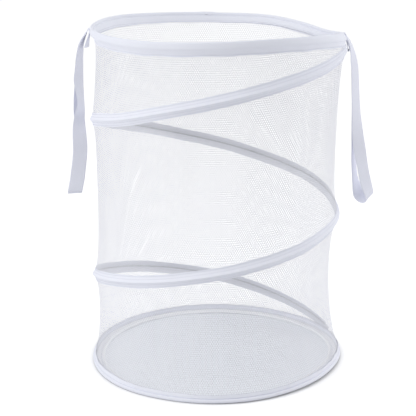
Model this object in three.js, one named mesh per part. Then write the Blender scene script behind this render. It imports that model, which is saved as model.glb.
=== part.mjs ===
// A pop up laundry hamper: a net drum held open by a sprung spiral between two wire hoops.
// Millimetres, +Z up. The origin is the middle of the floor's underside.
import * as THREE from 'three';

// Overall sizes: the drum is a little narrower at its rim than at its base hoop.
const baseDiameter = 459;
const rimNarrowing = 19;
const overallHeight = 610;

// Cloth, tape and wire stock.
const meshThickness = 0.5;
const tapeThickness = 0.8;
const floorThickness = 1;
const hoopWireDiameter = 3;
const spiralWireDiameter = 2.6;
const fitGap = 0.3;

// The rim and base bindings: how tall their flaps are and how far these lean inwards.
const rimBandHeight = 25;
const rimBandLean = 6;
const baseBandHeight = 14;
const baseBandLean = 5;

// The net is drawn in between the wires, by this much and within this reach of each wire.
const waistDepth = 10;
const waistReach = 30;

// The spiral's tape, and the caps on the ends of its wire.
const casingWidth = 24;
const spiralEndGap = 7.5;
const capLength = 12;
const capWall = 0.6;
const capChamfer = 0.5;

// The crimped sleeves that join the ends of each hoop.
const sleeveLength = 24;
const sleeveWall = 0.7;
const crimpDepth = 0.3;
const crimpWidth = 4;
const hoopEndGap = 1;

// The raised seam round the floor.
const seamTapeWidth = 13;
const seamTapeHeight = 3;

// The handles: flat webbing folded into a loop, sewn to the rim with its ends left hanging.
const webbingWidth = 25.4;
const webbingThickness = 1.4;
const handleDrop = 288;
const handleClearance = 4.3;
const handleFlick = 16;
const loopWidth = 12;
const tailLength = 37;
const tailSpread = 5;
const tailTopDrop = 4;
const tailSeamHeight = 10;

// Counts of facets. The spiral starts and ends on numbered columns, two turns apart at most.
const columns = 36;
const spiralFirst = 2;
const spiralLast = 70;
const rows = 14;
const wireSides = 6;
const sleeveSides = 12;
const handleSteps = 14;
const turnSteps = 5;

// Height of the spiral at even steps along its length, as shares of its climb.
const climbShares = [0, 0.126, 0.261, 0.395, 0.463, 0.567, 0.746, 0.867, 1];

// The handle's middle line: how far out and how far down, as shares of its stand-off and drop.
const handleOutShares = [0, 0.12, 0.6, 0.9, 1, 1];
const handleDownShares = [0, 0.036, 0.1, 0.2, 0.4, 0.86];
const handleTwist = Math.PI / 2;
const twistStartShare = 0.08;
const twistEndShare = 0.6;

const rimDiameter = baseDiameter - rimNarrowing;
const spiralDiameter = (baseDiameter + rimDiameter) / 2;
const columnAngle = (2 * Math.PI) / columns;
const sleeveColumn = columns / 4;

// A binding's pocket is a hexagon round the wire, so its corners stand further out than its sides.
const pocketCorner = 1 / Math.cos(Math.PI / 6);
const pocketAngles = [-30, 30, 90, 150, 210].map(THREE.MathUtils.degToRad);
const foldAngles = [60, 0, -60].map(THREE.MathUtils.degToRad);
const hoopPocket = hoopWireDiameter / 2 + fitGap;
const sleevePocket = hoopPocket + sleeveWall + fitGap;
const rimHoopRadius = rimDiameter / 2 - hoopPocket - tapeThickness;
const baseHoopRadius = baseDiameter / 2 - hoopPocket - tapeThickness;
const hoopInset = (sleevePocket + tapeThickness) * pocketCorner;
const rimHoopHeight = overallHeight - hoopInset;
const baseHoopHeight = hoopInset;

// Where the net leaves each binding.
const rimEdge = overallHeight - rimBandHeight;
const baseEdge = baseBandHeight;

// The spiral's wire lies in a channel between its tape and the net.
const wireChannel = spiralWireDiameter / 2 + fitGap;
const capRadius = wireChannel + capWall;
const capChannel = capRadius + fitGap;
const spiralRadius = spiralDiameter / 2 - (tapeThickness + capChannel) * pocketCorner;
const netAtSpiral = spiralRadius - capChannel;
const neckShare = 1.3;
const endRise = capChannel * neckShare + tapeThickness + 2 * fitGap + spiralEndGap;
const spiralSteps = spiralLast - spiralFirst;

// A point from its radius, height and column number, which may lie between two columns.
function polar(radius, height, column) {
  const low = Math.floor(column);
  const at = (step) => new THREE.Vector3(
    radius * Math.cos(step * columnAngle), radius * Math.sin(step * columnAngle), height);
  return low === column ? at(low) : at(low).lerp(at(low + 1), column - low);
}

// A closed body from its vertices and triangles, turned so that its faces point out.
function closedBody(points, triangles) {
  let volume = 0;
  for (let i = 0; i < triangles.length; i += 3) {
    const [a, b, c] = [points[triangles[i]], points[triangles[i + 1]], points[triangles[i + 2]]];
    volume += new THREE.Vector3().crossVectors(b, c).dot(a);
  }
  if (volume < 0) triangles.reverse();
  const geometry = new THREE.BufferGeometry();
  geometry.setFromPoints(points);
  geometry.setIndex(triangles);
  geometry.computeVertexNormals();
  return geometry;
}

function addQuad(triangles, a, b, c, d) {
  triangles.push(a, b, c, a, c, d);
}

// Joins ribbon sections into one body. Each section has an outer and an inner row of points, as
// many in each. The body closes on itself, or has a flat cap at each end.
function loft(sections, closesOnItself) {
  const loops = sections.map(({ outer, inner }) => [...outer, ...[...inner].reverse()]);
  const size = loops[0].length;
  const triangles = [];
  const steps = closesOnItself ? loops.length : loops.length - 1;
  for (let step = 0; step < steps; step += 1) {
    const here = step * size;
    const next = ((step + 1) % loops.length) * size;
    for (let side = 0; side < size; side += 1) {
      const after = (side + 1) % size;
      addQuad(triangles, here + side, here + after, next + after, next + side);
    }
  }
  if (!closesOnItself) {
    const last = (loops.length - 1) * size;
    for (let side = 0; side < size / 2 - 1; side += 1) {
      const across = size - 1 - side;
      addQuad(triangles, side, across, across - 1, side + 1);
      addQuad(triangles, last + side, last + side + 1, last + across - 1, last + across);
    }
  }
  return closedBody(loops.flat(), triangles);
}

// A round wire's section at one column, as two half rows for the loft.
function wireSection(radius, height, wireRadius, column) {
  const corners = Array.from({ length: wireSides }, (unused, side) => {
    const angle = (2 * Math.PI * side) / wireSides;
    return polar(radius + wireRadius * Math.cos(angle), height + wireRadius * Math.sin(angle), column);
  });
  const half = wireSides / 2;
  return { outer: corners.slice(0, half), inner: corners.slice(half).reverse() };
}

// A hoop of spring wire, whose ends face each other in the middle of its sleeve.
function hoopWire(radius, height) {
  const chord = 2 * radius * Math.sin(columnAngle / 2);
  const halfGap = hoopEndGap / 2 / chord;
  const stations = [sleeveColumn + 0.5 + halfGap];
  for (let column = 1; column <= columns; column += 1) stations.push(sleeveColumn + column);
  stations.push(sleeveColumn + columns + 0.5 - halfGap);
  return loft(stations.map((column) => (
    wireSection(radius, height, hoopWireDiameter / 2, column))), false);
}

// A crimped sleeve: a short tube with two pressed grooves.
function hoopSleeve(radius, height) {
  const corner = 1 / Math.cos(Math.PI / sleeveSides);
  const bore = hoopPocket * corner;
  const outside = bore + sleeveWall;
  const half = sleeveLength / 2;
  const groove = half / 2;
  const profile = [[bore, -half], [outside, -half]];
  for (const place of [-groove, groove]) {
    profile.push([outside, place - crimpWidth / 2], [outside - crimpDepth, place]);
    profile.push([outside, place + crimpWidth / 2]);
  }
  profile.push([outside, half], [bore, half], [bore, -half]);
  const geometry = new THREE.LatheGeometry(
    profile.map(([x, y]) => new THREE.Vector2(x, y)), sleeveSides);
  const angle = (sleeveColumn + 0.5) * columnAngle;
  geometry.rotateZ(angle);
  const middle = polar(radius, height, sleeveColumn + 0.5);
  return geometry.translate(middle.x, middle.y, middle.z);
}

// A binding is tape folded round its hoop, with a flap on each side of the net. The way is 1
// where the fold is at the top, as on the rim, and -1 where it is at the bottom.
function binding(hoopRadius, hoopHeight, edgeHeight, lean, way) {
  const sections = [];
  for (let column = 0; column < columns; column += 1) {
    const besideSleeve = column === sleeveColumn || column === sleeveColumn + 1;
    const pocket = besideSleeve ? sleevePocket : hoopPocket;
    const row = (offset) => {
      const reach = (pocket + offset) * pocketCorner;
      const netEdge = hoopRadius - lean;
      const flap = meshThickness / 2 + fitGap + offset;
      const points = pocketAngles.map((angle) => polar(
        hoopRadius + reach * Math.cos(angle), hoopHeight + way * reach * Math.sin(angle), column));
      return [polar(netEdge + flap, edgeHeight, column), ...points,
        polar(netEdge - flap, edgeHeight, column)];
    };
    sections.push({ outer: row(tapeThickness), inner: row(0) });
  }
  return loft(sections, true);
}

// The spiral's height at a step, on one smooth climb through its shares.
function spiralHeight(step) {
  const place = ((step - spiralFirst) / spiralSteps) * (climbShares.length - 1);
  const from = Math.min(Math.floor(place), climbShares.length - 2);
  const share = (index) => {
    const last = climbShares.length - 1;
    if (index < 0) return 2 * climbShares[0] - climbShares[1];
    return index > last ? 2 * climbShares[last] - climbShares[last - 1] : climbShares[index];
  };
  const slope = (index) => (share(index + 1) - share(index - 1)) / 2;
  const u = place - from;
  const climbed = (1 - 3 * u * u + 2 * u * u * u) * share(from)
    + (3 * u * u - 2 * u * u * u) * share(from + 1)
    + (u - 2 * u * u + u * u * u) * slope(from) + (u * u * u - u * u) * slope(from + 1);
  return THREE.MathUtils.lerp(baseEdge + endRise, rimEdge - endRise, climbed);
}

// The row of the net's grid that the spiral follows at a step.
function spiralRow(step) {
  return 1 + Math.round(((rows - 2) * (step - spiralFirst)) / spiralSteps);
}

// Heights of the grid's rows between two wires: the first and last lie under the tape's edges.
function spanHeight(low, high, count, index) {
  const span = high - low;
  if (count === 2) return low + span / 2;
  const edge = Math.min(casingWidth / 2 + fitGap, span / count);
  return low + edge + ((span - 2 * edge) * (index - 1)) / (count - 2);
}

// The net's outer face at one column: its height and radius at each row, from the base binding's
// edge to the rim binding's edge. Between the wires it is drawn in to a waist.
function netColumn(column) {
  const crossings = [column, column + columns]
    .filter((step) => step >= spiralFirst && step <= spiralLast)
    .map((step) => ({ row: spiralRow(step), height: spiralHeight(step), radius: netAtSpiral }));
  const anchors = [
    { row: 0, height: baseEdge, radius: baseHoopRadius - baseBandLean + meshThickness / 2 },
    ...crossings,
    { row: rows, height: rimEdge, radius: rimHoopRadius - rimBandLean + meshThickness / 2 },
  ];
  const points = [];
  for (let i = 0; i < anchors.length - 1; i += 1) {
    const [low, high] = [anchors[i], anchors[i + 1]];
    points.push({ height: low.height, radius: low.radius });
    const count = high.row - low.row;
    for (let index = 1; index < count; index += 1) {
      const height = spanHeight(low.height, high.height, count, index);
      const [below, above] = [height - low.height, high.height - height];
      const drawnIn = waistDepth * (1 - Math.exp(-below / waistReach))
        * (1 - Math.exp(-above / waistReach));
      const straight = THREE.MathUtils.lerp(low.radius, high.radius, below / (below + above));
      points.push({ height, radius: straight - drawnIn });
    }
  }
  const { height, radius } = anchors.at(-1);
  points.push({ height, radius });
  return points;
}

// The net wall: a thin drum whose edges lie inside the two bindings.
function netWall() {
  const points = [];
  for (let column = 0; column < columns; column += 1) {
    const [foot, head] = [baseHoopRadius, rimHoopRadius].map((radius) => radius + meshThickness / 2);
    const face = [{ height: baseHoopHeight + sleevePocket + fitGap, radius: foot },
      ...netColumn(column), { height: rimHoopHeight - sleevePocket - fitGap, radius: head }];
    for (const side of [0, meshThickness]) {
      for (const { height, radius } of face) points.push(polar(radius - side, height, column));
    }
  }
  const tall = rows + 3;
  const at = (column, side, row) => (column % columns) * 2 * tall + side * tall + row;
  const triangles = [];
  for (let column = 0; column < columns; column += 1) {
    for (let row = 0; row < tall - 1; row += 1) {
      addQuad(triangles, at(column, 0, row), at(column + 1, 0, row),
        at(column + 1, 0, row + 1), at(column, 0, row + 1));
      triangles.push(at(column, 1, row), at(column + 1, 1, row + 1), at(column + 1, 1, row));
      triangles.push(at(column, 1, row), at(column, 1, row + 1), at(column + 1, 1, row + 1));
    }
    addQuad(triangles, at(column, 1, 0), at(column + 1, 1, 0), at(column + 1, 0, 0), at(column, 0, 0));
    addQuad(triangles, at(column, 0, tall - 1), at(column + 1, 0, tall - 1),
      at(column + 1, 1, tall - 1), at(column, 1, tall - 1));
  }
  return closedBody(points, triangles);
}

// The spiral casing at one step: a flap up the net, a fold over the wire and a flap down it.
function casingSection(step) {
  const face = netColumn(step % columns).map(({ height, radius }) => new THREE.Vector2(radius, height));
  const row = spiralRow(step);
  const capSteps = Math.ceil(capLength / spiralChord(spiralFirst));
  const overCap = step <= spiralFirst + capSteps || step >= spiralLast - capSteps;
  const channel = overCap ? capChannel : wireChannel;
  const middle = new THREE.Vector2(spiralRadius, face[row].y);
  const flap = (neighbour, lift, ends) => {
    const along = new THREE.Vector2().subVectors(neighbour, face[row]);
    const reach = Math.min(casingWidth / 2, along.length() - tapeThickness - 2 * fitGap);
    along.normalize();
    const away = new THREE.Vector2(Math.abs(along.y), -along.x * Math.sign(along.y));
    const base = face[row].clone().addScaledVector(away, fitGap + lift);
    return ends.map((isTip) => base.clone().addScaledVector(along, isTip ? reach : channel * neckShare));
  };
  const contour = (lift) => {
    const reach = (channel + lift) * pocketCorner;
    const fold = foldAngles.map((angle) => new THREE.Vector2(
      middle.x + reach * Math.cos(angle), middle.y + reach * Math.sin(angle)));
    return [...flap(face[row + 1], lift, [true, false]), ...fold,
      ...flap(face[row - 1], lift, [false, true])];
  };
  const place = (points) => points.map((point) => polar(point.x, point.y, step));
  return { outer: place(contour(tapeThickness)), inner: place(contour(0)) };
}

function spiralCasing() {
  const sections = [];
  for (let step = spiralFirst; step <= spiralLast; step += 1) sections.push(casingSection(step));
  return loft(sections, false);
}

// The distance between two neighbouring steps of the spiral wire, at its lower or upper end.
function spiralChord(step) {
  return polar(spiralRadius, spiralHeight(step), step)
    .distanceTo(polar(spiralRadius, spiralHeight(step + 1), step + 1));
}

// The wire stops short of the casing's ends by the thickness of its caps.
function spiralWireEnds() {
  const short = capWall + 2 * fitGap;
  return [spiralFirst + short / spiralChord(spiralFirst), spiralLast - short / spiralChord(spiralLast - 1)];
}

function spiralWireSection(step) {
  const low = Math.min(Math.floor(step), spiralLast - 1);
  const sides = [low, low + 1].map((whole) => (
    wireSection(spiralRadius, spiralHeight(whole), spiralWireDiameter / 2, whole)));
  const between = (name) => sides[0][name].map((point, index) => (
    point.clone().lerp(sides[1][name][index], step - low)));
  return { outer: between('outer'), inner: between('inner') };
}

function spiralWire() {
  const [first, last] = spiralWireEnds();
  const steps = [first];
  for (let step = spiralFirst + 1; step < spiralLast; step += 1) steps.push(step);
  steps.push(last);
  return loft(steps.map(spiralWireSection), false);
}

// The least clear space between two turns of the spiral wire.
function leastTurnGap() {
  let least = Infinity;
  for (let step = spiralFirst; step + columns <= spiralLast; step += 1) {
    const below = polar(spiralRadius, spiralHeight(step), step);
    const above = polar(spiralRadius, spiralHeight(step + columns), step + columns);
    least = Math.min(least, below.distanceTo(above) - spiralWireDiameter);
  }
  return least;
}

// A cap over one end of the spiral wire: a blind tube with a rounded nose.
function wireCap(isUpper) {
  const corner = 1 / Math.cos(Math.PI / sleeveSides);
  const bore = wireChannel * corner;
  const profile = [[0, fitGap + capWall], [capRadius - capChamfer, fitGap + capWall],
    [capRadius, fitGap + capWall - capChamfer], [capRadius, fitGap + capWall - capLength],
    [bore, fitGap + capWall - capLength], [bore, fitGap], [0, fitGap]];
  const geometry = new THREE.LatheGeometry(
    profile.map(([x, y]) => new THREE.Vector2(x, y)).reverse(), sleeveSides);
  const [first, last] = spiralWireEnds();
  const whole = isUpper ? spiralLast - 1 : spiralFirst;
  const [low, high] = [whole, whole + 1].map((step) => polar(spiralRadius, spiralHeight(step), step));
  const end = low.clone().lerp(high, (isUpper ? last : first) - whole);
  const way = new THREE.Vector3().subVectors(high, low).multiplyScalar(isUpper ? 1 : -1).normalize();
  geometry.applyQuaternion(new THREE.Quaternion().setFromUnitVectors(new THREE.Vector3(0, 1, 0), way));
  return geometry.translate(end.x, end.y, end.z);
}

// The floor is a flat disc that meets the base binding all round.
function floorPanel() {
  const radius = baseHoopRadius - (hoopPocket + tapeThickness) * pocketCorner - fitGap;
  const geometry = new THREE.CylinderGeometry(radius, radius, floorThickness, columns);
  geometry.rotateX(Math.PI / 2);
  return geometry.translate(0, 0, floorThickness / 2);
}

// The raised seam is a low rounded ridge that lies on the floor just inside the base binding.
function floorSeamTape() {
  const outside = baseHoopRadius - (sleevePocket + tapeThickness) * pocketCorner - 2 * fitGap;
  const foot = floorThickness + fitGap;
  const crownShares = [[0, 0.35], [0.25, 0.85], [0.6, 1], [0.9, 0.7], [1, 0]];
  const crown = crownShares.map(([inwards, up]) => (
    new THREE.Vector2(outside - inwards * seamTapeWidth, foot + up * seamTapeHeight)));
  const profile = [...crown, new THREE.Vector2(outside, foot), crown[0].clone()];
  const geometry = new THREE.LatheGeometry(profile, columns);
  return geometry.rotateX(Math.PI / 2);
}

// The tail is sewn to the rim's outside, and the handle leaves it at the foot of that seam.
const rimRadius = rimDiameter / 2;
const tailInside = rimRadius + fitGap;
const tailTop = overallHeight - tailTopDrop;
const tailShoulder = tailInside + 2 * webbingThickness;
const hingeRadius = tailShoulder + webbingThickness + 2 * fitGap;
const tailSeamEnd = tailTop - tailSeamHeight;
const hingeHeight = tailSeamEnd + fitGap;

// The left tail: the webbing's two cut ends, which part towards the bottom.
function forkedTail() {
  const shape = new THREE.Shape();
  const bottom = tailTop - tailLength;
  const crotch = tailSeamEnd - webbingThickness;
  shape.moveTo(tailInside, tailTop);
  shape.lineTo(tailInside, bottom);
  shape.lineTo(tailInside + webbingThickness, bottom);
  shape.lineTo(tailInside + webbingThickness, crotch);
  shape.lineTo(tailInside + tailSpread, bottom);
  shape.lineTo(tailInside + tailSpread + webbingThickness, bottom + webbingThickness);
  shape.lineTo(tailShoulder, tailSeamEnd);
  shape.lineTo(tailShoulder, tailTop);
  shape.closePath();
  return shape;
}

// The right tail: the webbing folded back on itself in a small drop.
function dropTail() {
  const shape = new THREE.Shape();
  const round = (tailSpread + webbingThickness) / 2;
  const middle = tailInside + round;
  const low = tailTop - tailLength + round;
  shape.moveTo(tailShoulder, tailTop);
  shape.lineTo(tailInside, tailTop);
  shape.lineTo(tailInside, low);
  shape.absarc(middle, low, round, Math.PI, 2 * Math.PI, false);
  shape.lineTo(tailShoulder, tailSeamEnd);
  shape.closePath();
  const hole = new THREE.Path();
  hole.moveTo(tailInside + webbingThickness, tailSeamEnd - webbingThickness);
  hole.absarc(middle, low, round - webbingThickness, 0, Math.PI, true);
  hole.closePath();
  shape.holes.push(hole);
  return shape;
}

function handleTail(shape) {
  const geometry = new THREE.ExtrudeGeometry(
    shape, { depth: webbingWidth, bevelEnabled: false, curveSegments: wireSides });
  geometry.rotateX(Math.PI / 2);
  return geometry.translate(0, webbingWidth / 2, 0);
}

// The handle's middle line, from the hinge down to its fold. It hangs clear of the base ring,
// which passes between the handles as the rim sinks.
function handleLine() {
  const standOff = (baseDiameter + webbingWidth) / 2 + handleClearance - hingeRadius;
  const points = handleOutShares.map((out, index) => new THREE.Vector3(
    hingeRadius + out * standOff, 0, hingeHeight - handleDownShares[index] * handleDrop));
  const foldDrop = handleDrop - (loopWidth + webbingThickness) / 2;
  points.push(new THREE.Vector3(hingeRadius + standOff + handleFlick, 0, hingeHeight - foldDrop));
  return new THREE.CatmullRomCurve3(points, false, 'centripetal');
}

// One place on the handle: where its middle line is, which way it runs, and how far it has turned.
function handlePlace(line, share) {
  const point = line.getPointAt(share);
  const along = line.getTangentAt(share);
  const turned = handleTwist * THREE.MathUtils.smoothstep(share, twistStartShare, twistEndShare);
  const facing = new THREE.Vector3(-along.z, 0, along.x);
  const apart = THREE.MathUtils.lerp(webbingThickness + fitGap, loopWidth,
    THREE.MathUtils.smoothstep(share, 0, twistEndShare));
  return { point, along, apart, facing: facing.applyAxisAngle(along, turned) };
}

// The webbing's section where it faces one way, at some distance from the handle's middle line.
function webbingSection({ point, along }, facing, across, distance) {
  const row = (offset) => [1, -1].map((side) => point.clone()
    .addScaledVector(facing, distance + offset)
    .addScaledVector(across, (side * webbingWidth) / 2));
  return { outer: row(webbingThickness / 2), inner: row(-webbingThickness / 2) };
}

// A handle: webbing down one side, round its fold and up the other side.
function handleLoop() {
  const line = handleLine();
  const strands = { down: [], up: [] };
  for (let step = 0; step <= handleSteps; step += 1) {
    const place = handlePlace(line, step / handleSteps);
    const across = new THREE.Vector3().crossVectors(place.along, place.facing);
    const back = place.facing.clone().negate();
    strands.down.push(webbingSection(place, place.facing, across, place.apart / 2));
    strands.up.unshift(webbingSection(place, back, across, place.apart / 2));
  }
  const end = handlePlace(line, 1);
  const across = new THREE.Vector3().crossVectors(end.along, end.facing);
  const turn = [];
  for (let step = 1; step < turnSteps; step += 1) {
    const facing = end.facing.clone().applyAxisAngle(across, (-Math.PI * step) / turnSteps);
    turn.push(webbingSection(end, facing, across, end.apart / 2));
  }
  return loft([...strands.down, ...turn, ...strands.up], false);
}

// Colours and finishes.
const white = { color: 0xeef0f8, roughness: 0.9, metalness: 0 };
const paleCloth = { color: 0xdcdfea, roughness: 0.85, metalness: 0 };
const webbing = { color: 0xd4d6e4, roughness: 0.9, metalness: 0 };
const steel = { color: 0xa9abad, roughness: 0.35, metalness: 1 };
const plastic = { color: 0xe6e6ea, roughness: 0.5, metalness: 0 };

const hamper = new THREE.Group();

function addPiece(name, geometry, look) {
  const mesh = new THREE.Mesh(geometry, new THREE.MeshStandardMaterial(look));
  mesh.name = name;
  hamper.add(mesh);
  return mesh;
}

addPiece('floor_panel', floorPanel(), paleCloth);
addPiece('floor_seam_tape', floorSeamTape(), white);
addPiece('base_hoop', hoopWire(baseHoopRadius, baseHoopHeight), steel);
addPiece('base_hoop_sleeve', hoopSleeve(baseHoopRadius, baseHoopHeight), steel);
addPiece('base_binding', binding(baseHoopRadius, baseHoopHeight, baseEdge, baseBandLean, -1), white);
addPiece('mesh_wall', netWall(), white);
addPiece('spiral_wire', spiralWire(), steel);
addPiece('spiral_casing', spiralCasing(), white);
addPiece('spiral_lower_cap', wireCap(false), plastic);
addPiece('spiral_upper_cap', wireCap(true), plastic);
addPiece('rim_hoop', hoopWire(rimHoopRadius, rimHoopHeight), steel);
addPiece('rim_hoop_sleeve', hoopSleeve(rimHoopRadius, rimHoopHeight), steel);
addPiece('rim_binding', binding(rimHoopRadius, rimHoopHeight, rimEdge, rimBandLean, 1), white);
addPiece('right_handle_tail', handleTail(dropTail()), webbing);
addPiece('left_handle_tail', handleTail(forkedTail()), webbing).rotation.z = Math.PI;
addPiece('right_handle', handleLoop(), webbing);
addPiece('left_handle', handleLoop(), webbing).rotation.z = Math.PI;

console.log(`Least gap between turns of the spiral wire: ${leastTurnGap().toFixed(1)} mm`);

export default hamper;
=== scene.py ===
"""The looks of a pop up laundry hamper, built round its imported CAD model.

Lengths are metres and angles degrees, in the CAD's frame: +Z up, +X towards the right handle, -Y
towards the viewer. Azimuths are counted anticlockwise from +X, seen from above.
"""

import logging
import math
from contextlib import contextmanager
from dataclasses import dataclass
from enum import Enum
from typing import Callable, Iterator, Sequence

import bpy
import numpy as np
from mathutils import Matrix, Vector


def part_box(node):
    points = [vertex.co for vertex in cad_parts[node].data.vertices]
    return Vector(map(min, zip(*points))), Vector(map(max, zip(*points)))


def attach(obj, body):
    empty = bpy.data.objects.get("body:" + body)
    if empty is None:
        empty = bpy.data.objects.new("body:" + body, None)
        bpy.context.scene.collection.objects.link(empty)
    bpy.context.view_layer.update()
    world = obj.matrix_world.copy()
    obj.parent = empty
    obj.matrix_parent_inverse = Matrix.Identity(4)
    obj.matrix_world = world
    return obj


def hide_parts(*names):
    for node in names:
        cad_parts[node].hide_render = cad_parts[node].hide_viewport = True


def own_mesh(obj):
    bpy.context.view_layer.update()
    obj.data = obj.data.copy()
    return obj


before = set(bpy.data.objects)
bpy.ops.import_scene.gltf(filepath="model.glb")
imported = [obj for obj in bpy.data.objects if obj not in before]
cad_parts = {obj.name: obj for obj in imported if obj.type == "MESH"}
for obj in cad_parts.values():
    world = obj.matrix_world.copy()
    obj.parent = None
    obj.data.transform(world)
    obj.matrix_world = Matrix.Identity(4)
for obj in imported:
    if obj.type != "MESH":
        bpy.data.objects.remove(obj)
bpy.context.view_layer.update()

LOG = logging.getLogger("hamper")
MM = 0.001
Array = np.ndarray
Piece = bpy.types.Object
Look = bpy.types.Material
Tree = bpy.types.NodeTree
Node = bpy.types.Node
Socket = bpy.types.NodeSocket
Colour = tuple[float, float, float]
Waves = tuple[tuple[float, float, float], ...]


class Body(str, Enum):
    """The CAD bodies that pieces ride on."""

    BASE = "base"
    RIM = "rim"
    LEFT_LOOP = "left_loop"
    RIGHT_LOOP = "right_loop"


class Slot(str, Enum):
    """Names of the hamper's material slots."""

    NET = "net"
    TAPE = "binding_tape"
    FLOOR = "floor_cloth"
    WEBBING = "webbing"
    WIRE = "spring_wire"
    CAP = "wire_cap"


class Held(str, Enum):
    """How a sheet of cloth is held."""

    STRETCHED = "stretched"
    FOLDED = "folded"
    LAID = "laid"


@dataclass(frozen=True)
class SmoothTable:
    """A smooth line through places and values, which may repeat round a circle.

    Attributes:
        places: where the values are, rising.
        values: the values there.
        period: the length after which the line repeats, or 0.
    """

    places: tuple[float, ...]
    values: tuple[float, ...]
    period: float = 0.0

    def __call__(self, where: Array | float) -> Array:
        """Returns the line's value at each place asked for.

        Args:
            where: the places.

        Returns:
            The values, in the same shape.
        """
        asked = np.asarray(where, float)
        places, values = np.array(self.places, float), np.array(self.values, float)
        if self.period:
            asked = np.mod(asked - places[0], self.period) + places[0]
            places = np.concatenate([places[-2:] - self.period, places, places[:2] + self.period])
            values = np.concatenate([values[-2:], values, values[:2]])
        asked = np.clip(asked, places[0], places[-1])
        slopes = np.gradient(values, places)
        low = np.clip(np.searchsorted(places, asked) - 1, 0, len(places) - 2)
        step = places[low + 1] - places[low]
        t = (asked - places[low]) / step
        rise = t * t * (3 - 2 * t)
        bend = t * (1 - t) * (1 - t) * step * slopes[low] - t * t * (1 - t) * step * slopes[low + 1]
        return values[low] * (1 - rise) + values[low + 1] * rise + bend


def polar(radius: Array | float, azimuth: Array, height: Array | float) -> Array:
    """Returns points round the hamper's axis.

    Args:
        radius: how far out they are.
        azimuth: their azimuths.
        height: how high they are.

    Returns:
        The points, one row of three each.
    """
    angle = np.radians(azimuth)
    radius, angle, height = np.broadcast_arrays(radius, angle, height)
    return np.stack([radius * np.cos(angle), radius * np.sin(angle), height], axis=-1)


def smooth_step(low: float, high: float, where: Array) -> Array:
    """Returns 0 below low, 1 above high and a smooth rise between them."""
    share = np.clip((np.asarray(where, float) - low) / (high - low), 0, 1)
    return share * share * (3 - 2 * share)


def steps_round(count: int, closed: bool = False) -> Array:
    """Returns the azimuths of equal steps round, and 360 after them if closed."""
    return np.arange(count + closed) * 360.0 / count


def ripple(azimuth: Array, waves: Waves) -> Array:
    """Returns the sum of waves, each a depth, a count round and a start in radians."""
    return sum(depth * np.sin(np.radians(azimuth) * count + start)
               for depth, count, start in waves)


def run_along(line: Array) -> Array:
    """Returns how far along a line each of its points is."""
    return np.concatenate([[0], np.cumsum(np.linalg.norm(np.diff(line, axis=0), axis=1))])


def unit(rows: Array) -> Array:
    """Returns each row of three at a length of 1."""
    return rows / np.maximum(np.linalg.norm(rows, axis=1, keepdims=True), 1e-9)


def square_to(along: Array, rows: Array) -> Array:
    """Returns each row turned square to the way along, at a length of 1."""
    return unit(rows - along * np.sum(rows * along, axis=1, keepdims=True))


def deselect() -> None:
    """Leaves nothing selected."""
    bpy.ops.object.select_all(action="DESELECT")


def activate(piece: Piece) -> None:
    """Selects one piece and makes it the active one.

    Args:
        piece: the piece.
    """
    deselect()
    piece.select_set(True)
    bpy.context.view_layer.objects.active = piece


@contextmanager
def editing(piece: Piece, everything: bool = True) -> Iterator[None]:
    """Opens a piece in edit mode for some steps, and closes it after them.

    Args:
        piece: the piece.
        everything: whether all of it is selected first.

    Returns:
        What a with statement needs; it gives nothing to the steps.
    """
    activate(piece)
    bpy.ops.object.mode_set(mode="EDIT")
    if everything:
        bpy.ops.mesh.select_all(action="SELECT")
    yield
    bpy.ops.object.mode_set(mode="OBJECT")


def face_outwards(piece: Piece) -> None:
    """Turns a piece's faces so that they point outwards."""
    with editing(piece):
        bpy.ops.mesh.normals_make_consistent(inside=False)


def new_piece(name: str, points: Array, faces: Sequence[Sequence[int]],
              uvs: Array | None = None) -> Piece:
    """Makes a piece from points and faces.

    Args:
        name: the piece's name.
        points: its points, one row each.
        faces: the points of each face.
        uvs: the place on the cloth of each face corner, in metres, in the faces' order.

    Returns:
        The new piece.
    """
    mesh = bpy.data.meshes.new(name)
    mesh.from_pydata(np.asarray(points, float).reshape(-1, 3).tolist(), [], faces)
    if uvs is not None:
        layer = mesh.uv_layers.new(name="cloth")
        layer.data.foreach_set("uv", np.asarray(uvs, np.float32).ravel())
    mesh.update()
    piece = bpy.data.objects.new(name, mesh)
    bpy.context.scene.collection.objects.link(piece)
    return piece


def cloth_grid(name: str, points: Array, around: bool, along: Array, across: Array) -> Piece:
    """Makes a strip of cloth from a grid of points.

    Args:
        name: the piece's name.
        points: the grid, along by across by three.
        around: whether the last row joins the first.
        along: the place of each row along the cloth, with one more where it goes round.
        across: the place of each column across the cloth.

    Returns:
        The new piece, one layer thick.
    """
    rows, columns = points.shape[:2]
    spans = rows if around else rows - 1
    low, left = np.meshgrid(np.arange(spans), np.arange(columns - 1), indexing="ij")
    low, left = low.ravel(), left.ravel()
    high, right = low + 1, left + 1
    wrapped = high % rows
    faces = np.stack([low * columns + left, wrapped * columns + left,
                      wrapped * columns + right, low * columns + right], axis=-1)
    corners = [(low, left), (high, left), (high, right), (low, right)]
    uvs = np.stack([np.stack([along[a], across[b]], axis=-1) for a, b in corners], axis=1)
    return new_piece(name, points, faces.tolist(), uvs)


def pipe(name: str, rings: Array, along: Array | None = None,
         across: Array | None = None) -> Piece:
    """Makes a piece whose section is carried along a line, closed at both ends.

    Args:
        name: the piece's name.
        rings: the section's points at each step, steps by sides by three.
        along: the place of each step along the cloth, for a woven piece.
        across: the place of each side across it.

    Returns:
        The new piece.
    """
    count, sides = rings.shape[:2]
    faces = [(row * sides + i, row * sides + (i + 1) % sides,
              (row + 1) * sides + (i + 1) % sides, (row + 1) * sides + i)
             for row in range(count - 1) for i in range(sides)]
    faces.append(tuple(range(sides))[::-1])
    faces.append(tuple((count - 1) * sides + i for i in range(sides)))
    uvs = None
    if along is not None:
        uvs = np.array([(along[corner // sides], across[corner % sides])
                        for face in faces for corner in face])
    piece = new_piece(name, rings, faces, uvs)
    face_outwards(piece)
    return piece


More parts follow.
